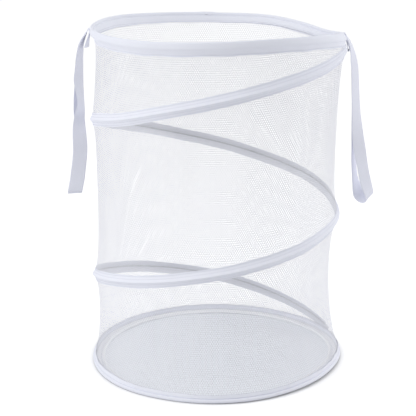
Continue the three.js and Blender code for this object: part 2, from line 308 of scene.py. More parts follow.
def apply_modifier(piece: Piece, kind: str, **settings: float | int | bool | str) -> None:
    """Adds a modifier to a piece and applies it.

    Args:
        piece: the piece.
        kind: the modifier's type.
        settings: the modifier's own settings.
    """
    activate(piece)
    modifier = piece.modifiers.new(kind.lower(), kind)
    for setting, value in settings.items():
        setattr(modifier, setting, value)
    bpy.ops.object.modifier_apply(modifier=modifier.name)


def thicken(piece: Piece, thickness: float, offset: float = 0.0) -> None:
    """Gives a layer of cloth its thickness.

    Args:
        piece: the layer.
        thickness: how thick it becomes.
        offset: -1 grows it inwards, 1 outwards and 0 both ways.
    """
    apply_modifier(piece, "SOLIDIFY", thickness=thickness, offset=offset, use_even_offset=True)


def smooth(piece: Piece, angle: float = 40) -> None:
    """Shades a piece smooth, apart from its sharp edges.

    Args:
        piece: the piece.
        angle: how sharp an edge has to be to stay so.
    """
    activate(piece)
    bpy.ops.object.shade_smooth_by_angle(angle=math.radians(angle))
    deselect()


def settle(piece: Piece) -> None:
    """Puts a piece's place into its mesh, so that its object sits at the origin.

    Args:
        piece: the piece.
    """
    activate(piece)
    bpy.ops.object.transform_apply(location=True, rotation=True, scale=True)
    deselect()


def dress(piece: Piece, look: Look, body: Body, nodes: Sequence[str] = ()) -> None:
    """Gives a piece its material, and puts it on its body.

    Args:
        piece: the piece.
        look: its material.
        body: the CAD body it rides on.
        nodes: the CAD nodes it replaces.
    """
    piece.data.materials.clear()
    piece.data.materials.append(look)
    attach(piece, body.value)
    if nodes:
        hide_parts(*nodes)
    LOG.info("%s on %s: %d faces", piece.name, body.value, len(piece.data.polygons))


def flatten(piece: Piece) -> None:
    """Gives a piece its own copy of its mesh.

    Args:
        piece: the piece.
    """
    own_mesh(piece)


def hoop_place(node: str) -> tuple[float, float]:
    """Returns a CAD hoop's radius and the height of its middle."""
    low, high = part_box(node)
    return (high.y - low.y) / 2 - (high.z - low.z) / 2, (low.z + high.z) / 2


@dataclass(frozen=True)
class Folds:
    """The soft upright folds of the slack net.

    Attributes:
        counts: how many folds of each size go round.
        depths: how deep each size is, in millimetres.
        starts: where each size starts, in degrees.
        leans: how far each size turns per metre of height, in degrees.
    """

    counts: tuple[int, ...] = (7, 11, 17, 26, 41)
    depths: tuple[float, ...] = (1.3, 1.1, 0.8, 0.45, 0.2)
    starts: tuple[float, ...] = (20, 71, 133, 5, 60)
    leans: tuple[float, ...] = (25, -38, 16, -12, 9)

    def depth(self, azimuth: Array, height: Array) -> Array:
        """Returns how far the folds stand out.

        Args:
            azimuth: the azimuths of the places asked for.
            height: their heights.

        Returns:
            How far out each place is moved, in metres.
        """
        total = 0.0
        for count, depth, start, lean in zip(self.counts, self.depths, self.starts, self.leans):
            total = total + depth * MM * np.sin(
                count * np.radians(azimuth + start + lean * height))
        return total


@dataclass(frozen=True)
class Drum:
    """Where the hamper's rim, net and spiral wire stand, measured from the photograph.

    Attributes:
        rim_lift: how far the hoop stands off the level, in millimetres by azimuth.
        climb: the spiral wire's height in millimetres by its angle, two turns long.
        wire_net: the net's radius under the wire, in millimetres by the wire's angle.
        waist: how far the slack net draws in, in millimetres by the angle of the wire over it.
        rise_reach: how far above a wire the net draws in, in millimetres by azimuth.
        fall_reach: how far below a wire it draws in, in millimetres by azimuth.
        flare: how far the rim band stands out over the spiral's upper end, in millimetres.
        base_swell: how far the base ring is out of round, in millimetres by azimuth.
        base_lift: how far it stands off the level, in millimetres by azimuth.
        folds: the folds of the slack net.
        first_turn: the angle at which the spiral's tape starts.
        wire_turn: the angle at which its wire ends.
        last_turn: the angle at which its tape ends.
        foot_height: how high the base tape's edge is.
        foot_radius: the net's radius there.
        foot_tuck: how far below that edge the net spreads in full.
        foot_spread: how far it spreads.
        band_drop: how far the rim band's lower edge is under the hoop.
        band_radius: the net's radius there.
        band_tuck: how far above that edge the net reaches the hoop.
        hoop_gap: how far inside the hoop's radius it stays.
        wire_gap: how far the spiral wire stays under the band.
        ring_reach: the radius from which all that lies on the base ring moves with it.
        ring_fade: the heights between which the drum stops moving with it.
    """

    rim_lift: SmoothTable = SmoothTable(
        (0, 12, 25, 44, 60, 90, 120, 150, 180, 210, 240, 270, 300, 330, 345),
        (-10, -14.4, -16.3, -9, -2.5, 0, 3, 5.5, 2, 0, -0.8, 2.4, 4.4, 0.2, -5), 360)
    climb: SmoothTable = SmoothTable(
        (0, 12, 28, 38.4, 48.6, 57.7, 66.2, 74.4, 87, 100.5, 116.6, 134.7, 154, 180, 200, 223, 245,
         262.8, 279.8, 298, 318.6, 332, 360, 387, 399, 409.4, 426.8, 442.6, 457.9, 473.5, 481.8,
         510, 540, 562, 584.7, 596, 606, 614.7, 631, 647.6, 666.5, 686.7, 698, 706, 712, 720),
        (10, 13.5, 23.6, 31.8, 40.6, 49, 56.8, 64.8, 76, 87.7, 102, 118, 134.4, 158.5, 175, 192.3,
         208.6, 222, 233.8, 246.6, 259.8, 267.8, 280, 302.5, 311.8, 319.6, 334.4, 349.2, 363.8,
         379.2, 388, 416, 444.7, 459.5, 474.8, 485.2, 494.6, 502.3, 516.4, 530.3, 544.6, 557.5,
         564, 568, 571, 576))
    wire_net: SmoothTable = SmoothTable(
        (0, 25, 60, 180, 360, 540, 640, 690, 706, 714, 720),
        (225, 224, 222.5, 223.3, 218, 220.8, 221, 221.5, 222.4, 223.5, 224.4))
    waist: SmoothTable = SmoothTable(
        (0, 90, 180, 270, 360, 450, 540, 630, 720, 810, 900, 990, 1080),
        (15.5, 11, 9.8, 13, 18, 14, 10.8, 12, 11.8, 9, 7.3, 8, 11))
    rise_reach: SmoothTable = SmoothTable((0, 90, 180, 270), (42, 22, 38, 22), 360)
    fall_reach: SmoothTable = SmoothTable((0, 90, 180, 270), (44, 22, 24, 22), 360)
    flare: SmoothTable = SmoothTable(
        (0, 10, 22, 40, 60, 180, 298, 315, 330, 342, 352),
        (12, 9.5, 5, 1, 0, 0, 0, 1.5, 5, 9, 11.5), 360)
    base_swell: SmoothTable = SmoothTable(
        (0, 20, 45, 90, 150, 180, 195, 210, 225, 245, 265, 285, 302, 320, 335, 350),
        (2, 4.6, 2, 0, 0, -0.6, 0.8, 2.8, 3.8, 1, 0, -1.5, -4, -5, -4.2, -0.6), 360)
    base_lift: SmoothTable = SmoothTable(
        (0, 30, 60, 180, 270, 290, 310, 330, 345), (2.4, 1.2, 0, 0, 0, 0.8, 2.4, 3.2, 3.1), 360)
    folds: Folds = Folds()
    first_turn: float = 20.0
    wire_turn: float = 700.0
    last_turn: float = 713.0
    foot_height: float = 0.0125
    foot_radius: float = 0.2247
    foot_tuck: float = 0.006
    foot_spread: float = 0.0008
    band_drop: float = 0.0205
    band_radius: float = 0.2124
    band_tuck: float = 0.017
    hoop_gap: float = 0.001
    wire_gap: float = 0.0008
    ring_reach: float = 0.222
    ring_fade: tuple[float, float] = (0.012, 0.14)

    def hoop(self) -> tuple[float, float]:
        """Returns the rim hoop's radius and its height where it is level."""
        return hoop_place("rim_hoop")

    def lift(self, azimuth: Array) -> Array:
        """Returns how far the rim stands off the level at azimuths."""
        return self.rim_lift(azimuth) * MM

    def band_edge(self, azimuth: Array) -> Array:
        """Returns the height of the rim band's lower edge at azimuths."""
        return self.hoop()[1] - self.band_drop + self.lift(azimuth)

    def shape_base(self, points: Array) -> Array:
        """Returns points moved with the base ring, which is a little warped and out of round.

        Args:
            points: the points, one row of three each, at the places of a true ring.

        Returns:
            The moved points. Those near the middle and those high up the drum stay.
        """
        radius = np.hypot(points[..., 0], points[..., 1])
        azimuth = np.degrees(np.arctan2(points[..., 1], points[..., 0]))
        share = smooth_step(0.0, self.ring_reach, radius)
        share = share * (1 - smooth_step(*self.ring_fade, points[..., 2]))
        grown = 1 + self.base_swell(azimuth) * MM * share / np.maximum(radius, 1e-6)
        lift = self.base_lift(azimuth) * MM * share
        return np.stack([points[..., 0] * grown, points[..., 1] * grown, points[..., 2] + lift],
                        axis=-1)

    def wire_height(self, turn: Array) -> Array:
        """Returns the spiral wire's height at its angles, under the rim band."""
        return np.minimum(self.climb(turn) * MM, self.band_edge(turn) - self.wire_gap)

    def net_radius(self, azimuth: Array, height: Array) -> Array:
        """Returns the net's radius at azimuths and heights.

        Args:
            azimuth: the azimuths.
            height: the heights, in the same shape.

        Returns:
            The radii.
        """
        azimuth, height = np.broadcast_arrays(np.mod(azimuth, 360.0), np.asarray(height, float))
        edge = self.band_edge(azimuth)
        levels = np.stack([np.full_like(height, self.foot_height), self.wire_height(azimuth),
                           np.minimum(self.climb(azimuth + 360) * MM, edge), edge])
        levels = np.maximum.accumulate(levels, axis=0)
        band = self.band_radius + self.flare(azimuth) * MM
        radii = np.stack([np.full_like(height, self.foot_radius), self.wire_net(azimuth) * MM,
                          self.wire_net(azimuth + 360) * MM, band])
        above, below = self.rise_reach(azimuth) * MM, self.fall_reach(azimuth) * MM
        result = radii[0].copy()
        for level in range(3):
            low, high = levels[level], levels[level + 1]
            rise, fall = np.maximum(height - low, 0), np.maximum(high - height, 0)
            share = np.clip(rise / np.maximum(high - low, 1e-6), 0, 1)
            slack = (1 - np.exp(-rise / above)) * (1 - np.exp(-fall / below))
            waist = self.waist(azimuth + 360 * level) * MM
            drawn = radii[level] + (radii[level + 1] - radii[level]) * share - waist * slack
            drawn = drawn + self.folds.depth(azimuth, height) * slack
            result = np.where((height >= low) & (height <= high), drawn, result)
        over = np.clip((height - edge) / self.band_tuck, 0, 1)
        top = self.hoop()[0] - self.hoop_gap
        result = np.where(height > edge, band + (top - band) * over, result)
        under = np.clip((self.foot_height - height) / self.foot_tuck, 0, 1)
        return np.where(height < self.foot_height,
                        self.foot_radius + self.foot_spread * under, result)


@dataclass(frozen=True)
class Stitches:
    """A row of thread stitches.

    Attributes:
        length: how long each stitch is.
        width: how thick its thread is.
        pitch: how far it is from one stitch to the next.
        shoulder: how far out its full thickness goes, as a share of half its length.
    """

    length: float = 0.0026
    width: float = 0.0006
    pitch: float = 0.0036
    shoulder: float = 0.55

    def row(self, name: str, lines: Sequence[tuple[Array, Array]]) -> Piece:
        """Makes the stitches along lines.

        Args:
            name: the piece's name.
            lines: each line's points, close together, and which way out of the cloth each faces.

        Returns:
            All the stitches, as one piece.
        """
        points, faces = [], []
        ring = [(math.cos(a), math.sin(a)) for a in np.radians((0, 90, 180, 270))]
        half, thick = self.length / 2, self.width / 2
        for line, outs in lines:
            run = run_along(line)
            count = max(int(run[-1] / self.pitch), 1)
            middles = (np.arange(count) + 0.5) * run[-1] / count
            place, ahead, out = (
                np.stack([np.interp(where, run, rows[:, i]) for i in range(3)], axis=-1)
                for where, rows in ((middles, line), (middles + half, line), (middles, outs)))
            along = unit(ahead - place)
            out = square_to(along, out)
            for c, a, o, s in zip(place, along, out, np.cross(along, out)):
                start = len(points)
                points.append(c - a * half - o * thick)
                for share in (-self.shoulder, self.shoulder):
                    points.extend(c + a * half * share + (s * x + o * y) * thick for x, y in ring)
                points.append(c + a * half - o * thick)
                for i in range(4):
                    j = (i + 1) % 4
                    faces.append((start, start + 1 + j, start + 1 + i))
                    faces.append((start + 1 + i, start + 1 + j, start + 5 + j, start + 5 + i))
                    faces.append((start + 9, start + 5 + i, start + 5 + j))
        return new_piece(name, np.array(points), faces)


class NodeWriter:
    """Writes shader nodes into one tree, a line for each node."""

    def __init__(self, tree: Tree) -> None:
        """Starts writing into a tree."""
        self.tree = tree
        self.across = 0

    def add(self, kind: str, inputs: dict[str | int, object] | None = None,
            **settings: object) -> bpy.types.Node:
        """Adds one node.

        Args:
            kind: the node's type.
            inputs: a value or a socket for each input, by name or number.
            settings: the node's own settings.

        Returns:
            The node.
        """
        node = self.tree.nodes.new(kind)
        node.location = (self.across, 0)
        self.across += 180
        for name, value in settings.items():
            setattr(node, name, value)
        for name, value in (inputs or {}).items():
            if isinstance(value, bpy.types.NodeSocket):
                self.tree.links.new(value, node.inputs[name])
            else:
                node.inputs[name].default_value = value
        return node

    def math(self, operation: str, *values: float | Socket) -> Socket:
        """Adds a Math node and returns what it puts out."""
        return self.add("ShaderNodeMath", dict(enumerate(values)), operation=operation).outputs[0]

    def blend(self, share: float | Socket, low: Sequence[float] | Socket,
              high: Sequence[float] | Socket) -> Socket:
        """Adds a colour Mix node and returns its colour."""
        node = self.add("ShaderNodeMix", {0: share, 6: low, 7: high}, data_type="RGBA")
        return node.outputs[2]


def fresh_nodes(owner: Look | bpy.types.World) -> NodeWriter:
    """Empties the nodes of a material or world.

    Args:
        owner: the material or the world.

    Returns:
        A writer for its new nodes.
    """
    owner.use_nodes = True
    owner.node_tree.nodes.clear()
    return NodeWriter(owner.node_tree)


def group(name: str, inputs: dict[str, tuple[str, float]], outputs: Sequence[str],
          fill: Callable[[NodeWriter, bpy.types.Node], Sequence[Socket]]) -> Tree:
    """Makes a shader node group once, and returns the same one after that.

    Args:
        name: the group's name.
        inputs: each input's socket type and usual value, by name.
        outputs: the names of the values that it puts out.
        fill: writes its nodes and returns one socket for each output.

    Returns:
        The group.
    """
    if name in bpy.data.node_groups:
        return bpy.data.node_groups[name]
    tree = bpy.data.node_groups.new(name, "ShaderNodeTree")
    for label, (kind, usual) in inputs.items():
        socket = tree.interface.new_socket(label, in_out="INPUT", socket_type=kind)
        if kind == "NodeSocketFloat":
            socket.default_value = usual
    for label in outputs:
        tree.interface.new_socket(label, in_out="OUTPUT", socket_type="NodeSocketFloat")
    writer = NodeWriter(tree)
    entry = writer.add("NodeGroupInput")
    results = fill(writer, entry)
    writer.add("NodeGroupOutput", dict(enumerate(results)))
    return tree


def fill_weave(write: NodeWriter, entry: bpy.types.Node) -> Sequence[Socket]:
    """Writes threads that cross over and under.

    Args:
        write: the group's writer.
        entry: the node that gives its inputs.

    Returns:
        The threads' height, and how far between them a place is.
    """
    parts = write.add("ShaderNodeSeparateXYZ", {0: entry.outputs["Place"]})
    over = write.math("SINE", write.math("MULTIPLY", parts.outputs[0], entry.outputs["Warp"]))
    under = write.math("SINE", write.math("MULTIPLY", parts.outputs[1], entry.outputs["Weft"]))
    height = write.math("MULTIPLY_ADD", write.math("MULTIPLY", over, under), 0.5, 0.5)
    return height, write.math("POWER", write.math("SUBTRACT", 1.0, height), 3.0)


def fill_wear(write: NodeWriter, entry: bpy.types.Node) -> Sequence[Socket]:
    """Writes soft uneven patches.

    Args:
        write: the group's writer.
        entry: the node that gives its inputs.

    Returns:
        The large patches and the small ones.
    """
    large = write.add("ShaderNodeTexNoise", {"Vector": entry.outputs["Place"],
                                             "Scale": entry.outputs["Large"], "Detail": 2.0})
    small = write.add("ShaderNodeTexNoise", {"Vector": entry.outputs["Place"],
                                             "Scale": entry.outputs["Small"], "Detail": 3.0})
    return large.outputs[0], small.outputs[0]


def fill_net(write: NodeWriter, entry: bpy.types.Node) -> Sequence[Socket]:
    """Writes staggered round holes.

    Args:
        write: the group's writer.
        entry: the node that gives its inputs.

    Returns:
        1 on the yarn and 0 in a hole, and the yarn's height.
    """
    parts = write.add("ShaderNodeSeparateXYZ", {0: entry.outputs["Place"]})
    wales = write.math("MULTIPLY", parts.outputs[0], entry.outputs["Wales"])
    courses = write.math("MULTIPLY", parts.outputs[1], entry.outputs["Courses"])
    both = write.math("MULTIPLY", write.math("COSINE", wales), write.math("COSINE", courses))
    rows = write.math("COSINE", write.math("MULTIPLY", courses, 2.0))
    web = write.math("MULTIPLY_ADD", both, 2.0, rows)
    yarn = write.math("LESS_THAN", web, entry.outputs["Yarn"])
    return yarn, write.math("MULTIPLY", web, -0.4)


WEAVE = ("thread weave", {"Place": ("NodeSocketVector", 0), "Warp": ("NodeSocketFloat", 3000),
                          "Weft": ("NodeSocketFloat", 3000)}, ("Height", "Gaps"), fill_weave)
WEAR = ("cloth wear", {"Place": ("NodeSocketVector", 0), "Large": ("NodeSocketFloat", 6),
                       "Small": ("NodeSocketFloat", 60)}, ("Broad", "Fine"), fill_wear)
NET = ("net holes", {"Place": ("NodeSocketVector", 0), "Wales": ("NodeSocketFloat", 2800),
                     "Courses": ("NodeSocketFloat", 1600), "Yarn": ("NodeSocketFloat", -0.5)},
       ("Cover", "Height"), fill_net)


def threads(pitch: float) -> float:
    """Returns a wave's multiplier for threads this far apart."""
    return math.pi / pitch


@dataclass(frozen=True)
class Finish:
    """What the finishes have in common: a name, two colours and the nodes round them.

    Attributes:
        name: the material's name.
        colour: its main colour.
        shade: its colour in the duller patches, and in woven cloth also the colour of the painted
            shade between the threads.
    """

    name: str
    colour: Colour
    shade: Colour

    def look(self) -> Look:
        """Makes the material once, and gives the same one after that.

        Returns:
            The material.
        """
        if self.name in bpy.data.materials:
            return bpy.data.materials[self.name]
        look = bpy.data.materials.new(self.name)
        write = fresh_nodes(look)
        surface = write.add("ShaderNodeBsdfPrincipled", self.surface(write))
        write.add("ShaderNodeOutputMaterial", {0: surface.outputs[0]})
        return look

    def surface(self, write: NodeWriter) -> dict[str, float | Socket]:
        """Writes the finish's nodes and returns what its shader is given, by input."""
        raise NotImplementedError

    def patches_on(self, write: NodeWriter, place: Socket, large: float, small: float) -> Node:
        """Adds soft uneven patches, at the scales of the large and the small ones."""
        return write.add("ShaderNodeGroup", {"Place": place, "Large": large, "Small": small},
                         node_tree=group(*WEAR))

    def basics(self, write: NodeWriter, dull: Socket, uneven: tuple[Socket, float, float],
               relief: tuple[Socket, float, float]) -> dict[str, float | Socket]:
        """Writes the colour, the roughness and the relief.

        Args:
            write: the material's writer.
            dull: how much of the shade there is in the colour.
            uneven: the pattern of the roughness, how far it rises with it, and its least.
            relief: the height of the surface, how strongly it shows and how deep it is.

        Returns:
            What the shader is given, by input.
        """
        height, strength, depth = relief
        bump = write.add("ShaderNodeBump", {"Strength": strength, "Distance": depth,
                                            "Height": height})
        return {"Base Color": write.blend(dull, (*self.colour, 1), (*self.shade, 1)),
                "Roughness": write.math("MULTIPLY_ADD", *uneven), "Normal": bump.outputs[0]}


@dataclass(frozen=True)
class ClothFinish(Finish):
    """A woven cloth: its threads and how unevenly it takes the light.

    Attributes:
        warp: how far apart the threads along it are.
        weft: how far apart the threads across it are.
        relief: how strongly the weave shows in the light.
        patches: how strongly the duller patches show.
        gaps: how strongly painted shade darkens the spaces between the threads.
        roughness: how matt it is where it is least so.
        unevenness: how much more matt it is in places.
        scales: how many of the large and the small patches go in a metre.
        depth: how deep the weave is.
    """

    warp: float = 0.0009
    weft: float = 0.0007
    relief: float = 0.35
    patches: float = 0.5
    gaps: float = 0.35
    roughness: float = 0.84
    unevenness: float = 0.12
    scales: tuple[float, float] = (9.0, 70.0)
    depth: float = 0.0003

    def surface(self, write: NodeWriter) -> dict[str, float | Socket]:
        """Writes woven threads with soft patches, and painted shade in the spaces between the
        threads.

        Args:
            write: the material's writer.

        Returns:
            What its shader is given, by input.
        """
        place = write.add("ShaderNodeUVMap", uv_map="cloth").outputs[0]
        weave = write.add("ShaderNodeGroup", {"Place": place, "Warp": threads(self.warp),
                                              "Weft": threads(self.weft)},
                          node_tree=group(*WEAVE))
        solid = write.add("ShaderNodeTexCoord").outputs["Object"]
        wear = self.patches_on(write, solid, *self.scales)
        broad = write.math("MULTIPLY", wear.outputs["Broad"], self.patches)
        # Painted shade: the spaces between the threads are darkened towards the shade colour, over
        # the soft patches of real uneven tone.
        dull = write.math("MULTIPLY_ADD", weave.outputs["Gaps"], self.gaps, broad)
        basics = self.basics(write, dull,
                             (wear.outputs["Fine"], self.unevenness, self.roughness),
                             (weave.outputs["Height"], self.relief, self.depth))
        return basics | {"Specular IOR Level": 0.25}


@dataclass(frozen=True)
class NetFinish(Finish):
    """Warp-knitted net: yarn round small holes.

    Attributes:
        pitch: how far apart the holes are.
        yarn: the level of the wave under which there is yarn, higher for less open net.
        passing: the share of the light on the yarn that goes on through it.
        roughness: how matt it is where it is least so.
        unevenness: how much more matt it is in places.
        scales: how many of the large and the small patches go in a metre.
        relief: how strongly the yarn shows in the light.
        depth: how deep it is.
    """

    pitch: float = 0.0042
    yarn: float = -0.99
    passing: float = 0.85
    roughness: float = 0.6
    unevenness: float = 0.2
    scales: tuple[float, float] = (14.0, 400.0)
    relief: float = 0.3
    depth: float = 0.0003

    def surface(self, write: NodeWriter) -> dict[str, float | Socket]:
        """Writes the holes and their yarn.

        Args:
            write: the material's writer.

        Returns:
            What its shader is given, by input.
        """
        place = write.add("ShaderNodeUVMap", uv_map="cloth").outputs[0]
        net = write.add("ShaderNodeGroup", {
            "Place": place, "Wales": 2 * threads(self.pitch),
            "Courses": 2 * threads(self.pitch * math.sqrt(3)), "Yarn": self.yarn},
                        node_tree=group(*NET))
        wear = self.patches_on(write, place, *self.scales)
        path = write.add("ShaderNodeLightPath")
        lighting = write.math("MAXIMUM", path.outputs["Is Shadow Ray"],
                              path.outputs["Is Diffuse Ray"])
        stopped = write.math("MULTIPLY_ADD", lighting, -self.passing, 1.0)
        cover = write.math("MULTIPLY", net.outputs["Cover"], stopped)
        basics = self.basics(write, wear.outputs["Broad"],
                             (wear.outputs["Fine"], self.unevenness, self.roughness),
                             (net.outputs["Height"], self.relief, self.depth))
        return basics | {"Alpha": cover, "Specular IOR Level": 0.3}


@dataclass(frozen=True)
class HardFinish(Finish):
    """A hard finish with a fine grain: drawn steel, moulded plastic or waxed thread.

    Attributes:
        metal: 1 for metal, or 0.
        roughness: how matt it is where it is least so.
        grain: how many grains go in a metre.
        unevenness: how much more matt it is in places.
        relief: how strongly the grain shows in the light.
        depth: how deep it is.
    """

    metal: float = 0.0
    roughness: float = 0.43
    grain: float = 500.0
    unevenness: float = 0.15
    relief: float = 0.15
    depth: float = 0.0002

    def surface(self, write: NodeWriter) -> dict[str, float | Socket]:
        """Writes the grain.

        Args:
            write: the material's writer.

        Returns:
            What its shader is given, by input.
        """
        place = write.add("ShaderNodeTexCoord").outputs["Object"]
        wear = self.patches_on(write, place, self.grain / 20, self.grain)
        fine = wear.outputs["Fine"]
        basics = self.basics(write, wear.outputs["Broad"],
                             (fine, self.unevenness, self.roughness),
                             (fine, self.relief, self.depth))
        return basics | {"Metallic": self.metal}


TAPE = ClothFinish("binding tape", (0.91, 0.922, 0.988), (0.84, 0.857, 0.945), 0.0011, 0.0008)
SEAM_TAPE = ClothFinish("seam tape", (0.95, 0.955, 0.97), (0.88, 0.89, 0.92), 0.0011, 0.0008)
FLOOR_CLOTH = ClothFinish("floor cloth", (0.93, 0.95, 0.99), (0.87, 0.895, 0.965), 0.0008, 0.0008,
                          relief=0.2)
WEBBING = ClothFinish("handle webbing", (0.86, 0.87, 0.95), (0.76, 0.775, 0.875), 0.0016, 0.0021,
                      relief=0.5, patches=0.4)
NET_FINISH = NetFinish("hamper net", (0.82, 0.822, 0.86), (0.75, 0.753, 0.80))
# The stitches are real thread, but their dark bluish grey is painted shade: it stands for the
# shadow line along each seam.
SEAM_THREAD_AND_SHADE = HardFinish("seam thread and painted seam shade", (0.62, 0.63, 0.72), (0.50, 0.51, 0.60), roughness=0.63)
STEEL = HardFinish("spring steel", (0.66, 0.67, 0.68), (0.50, 0.51, 0.53), metal=1.0,
                   roughness=0.28)
CAP = HardFinish("wire cap", (0.88, 0.88, 0.90), (0.78, 0.78, 0.82))


@dataclass(frozen=True)
class Sleeve:
    """The crimped sleeve over the joint of a wire ring.

    Attributes:
        cuts: where it is cut across for its crimps, from its middle, as shares of its length.
        crimp: how far from its middle the two crimps are, as such a share.
        waist: how wide a crimp is beside the sleeve.
        lip: how wide the edge of its mouths is.
        mouth: how deep they are.
    """

    cuts: tuple[float, ...] = (-0.3, -0.2, -0.1, 0.1, 0.2, 0.3)
    crimp: float = 0.2
    waist: float = 0.88
    lip: float = 0.0007
    mouth: float = 0.0006

    def build(self, name: str, node: str) -> Piece:
        """Makes the sleeve where its CAD node is.

        Args:
            name: the piece's name.
            node: the CAD node it stands for.

        Returns:
            The sleeve.
        """
        low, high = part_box(node)
        middle = (low + high) / 2
        length = math.hypot(high.x - low.x, high.y - low.y)
        deselect()
        bpy.ops.mesh.primitive_cylinder_add(vertices=20, radius=(high.z - low.z) / 2,
                                            depth=length, end_fill_type="NGON")
        piece = bpy.context.object
        piece.name = name
        with editing(piece):
            for share in self.cuts:
                bpy.ops.mesh.select_all(action="SELECT")
                bpy.ops.mesh.bisect(plane_co=(0, 0, share * length), plane_no=(0, 0, 1))
            bpy.ops.mesh.select_all(action="DESELECT")
        for vertex in piece.data.vertices:
            if abs(abs(vertex.co.z) / length - self.crimp) < 0.02:
                vertex.co.x *= self.waist
                vertex.co.y *= self.waist
        for face in [face for face in piece.data.polygons if abs(face.normal.z) > 0.9]:
            face.select = True
        with editing(piece, everything=False):
            bpy.ops.mesh.select_mode(type="FACE")
            bpy.ops.mesh.inset(thickness=self.lip)
            bpy.ops.mesh.extrude_region_shrink_fatten(
                TRANSFORM_OT_shrink_fatten={"value": -self.mouth})
        turn = (Matrix.Rotation(math.atan2(middle.y, middle.x), 4, "Z")
                @ Matrix.Rotation(math.radians(90), 4, "X"))
        piece.data.transform(Matrix.Translation(middle) @ turn)
        smooth(piece, 30)
        return piece


@dataclass
class Ring:
    """A wire ring in its folded tape: what the rim and the base have in common.

    Attributes:
        drum: where the drum stands.
        columns: how many steps go round.
        tape_thickness: how thick the tape is.
        wire_thickness: how thick the ring's wire is.
        thread_stand: how far a stitch stands off the middle of the tape.
    """

    drum: Drum
    columns: int = 360
    tape_thickness: float = 0.0007
    wire_thickness: float = 0.003
    thread_stand: float = 0.0005

    def folded_tape(self, name: str, radius: float, heights: Array, section: Array,
                    mean_radius: float) -> Piece:
        """Makes tape that is folded round the ring.

        Args:
            name: the piece's name.
            radius: the ring's radius.
            heights: the ring's height at each step round.
            section: how far out and up from the ring the tape's middle lies, step by step
                across, for each step round.
            mean_radius: the radius at which the tape's length is counted.

        Returns:
            The tape.
        """
        points = polar(radius + section[..., 0], steps_round(self.columns)[:, None],
                       heights[:, None] + section[..., 1])
        along = np.radians(steps_round(self.columns, True)) * mean_radius
        piece = cloth_grid(name, points, True, along, run_along(section[0]))
        thicken(piece, self.tape_thickness)
        smooth(piece)
        return piece

    def seam(self, name: str, radius: float, heights: Array, section: Array,
             sides: dict[int, float]) -> Piece:
        """Makes the stitches round a folded tape.

        Args:
            name: the piece's name.
            radius: the ring's radius.
            heights: the ring's height at each step round.
            section: the tape's section at each step round.
            sides: 1 for a line that faces out and -1 for one that faces in, by its column.

        Returns:
            The stitches.
        """
        turns = steps_round(self.columns, True)
        rows = np.append(np.arange(self.columns), 0)
        lines = [(polar(radius + section[rows, column, 0] + side * self.thread_stand, turns,
                        heights[rows] + section[rows, column, 1]), polar(1.0, turns, 0.0) * side)
                 for column, side in sides.items()]
        return Stitches().row(name, lines)

    def wire_ring(self, name: str, radius: float, heights: Array) -> Piece:
        """Makes a round wire ring from a circle that is spun about the axis.

        Args:
            name: the piece's name.
            radius: the ring's radius.
            heights: the ring's height at each step round.

        Returns:
            The ring.
        """
        deselect()
        bpy.ops.mesh.primitive_circle_add(vertices=10, radius=self.wire_thickness / 2,
                                          location=(radius, 0, 0),
                                          rotation=(math.radians(90), 0, 0))
        piece = bpy.context.object
        piece.name = name
        settle(piece)
        with editing(piece):
            bpy.ops.mesh.spin(steps=self.columns // 3, angle=2 * math.pi, center=(0, 0, 0),
                              axis=(0, 0, 1))
            bpy.ops.mesh.select_all(action="SELECT")
            bpy.ops.mesh.remove_doubles(threshold=0.00001)
            bpy.ops.mesh.normals_make_consistent(inside=False)
        self.raise_points(piece, heights)
        smooth(piece)
        return piece

    def raise_points(self, piece: Piece, heights: Array) -> None:
        """Lifts a piece's points with the ring.

        Args:
            piece: the piece.
            heights: how far they rise at each step round.
        """
        table = np.concatenate([heights, heights[:1]])
        for vertex in piece.data.vertices:
            angle = math.degrees(math.atan2(vertex.co.y, vertex.co.x)) % 360
            vertex.co.z += float(np.interp(angle, steps_round(self.columns, True), table))


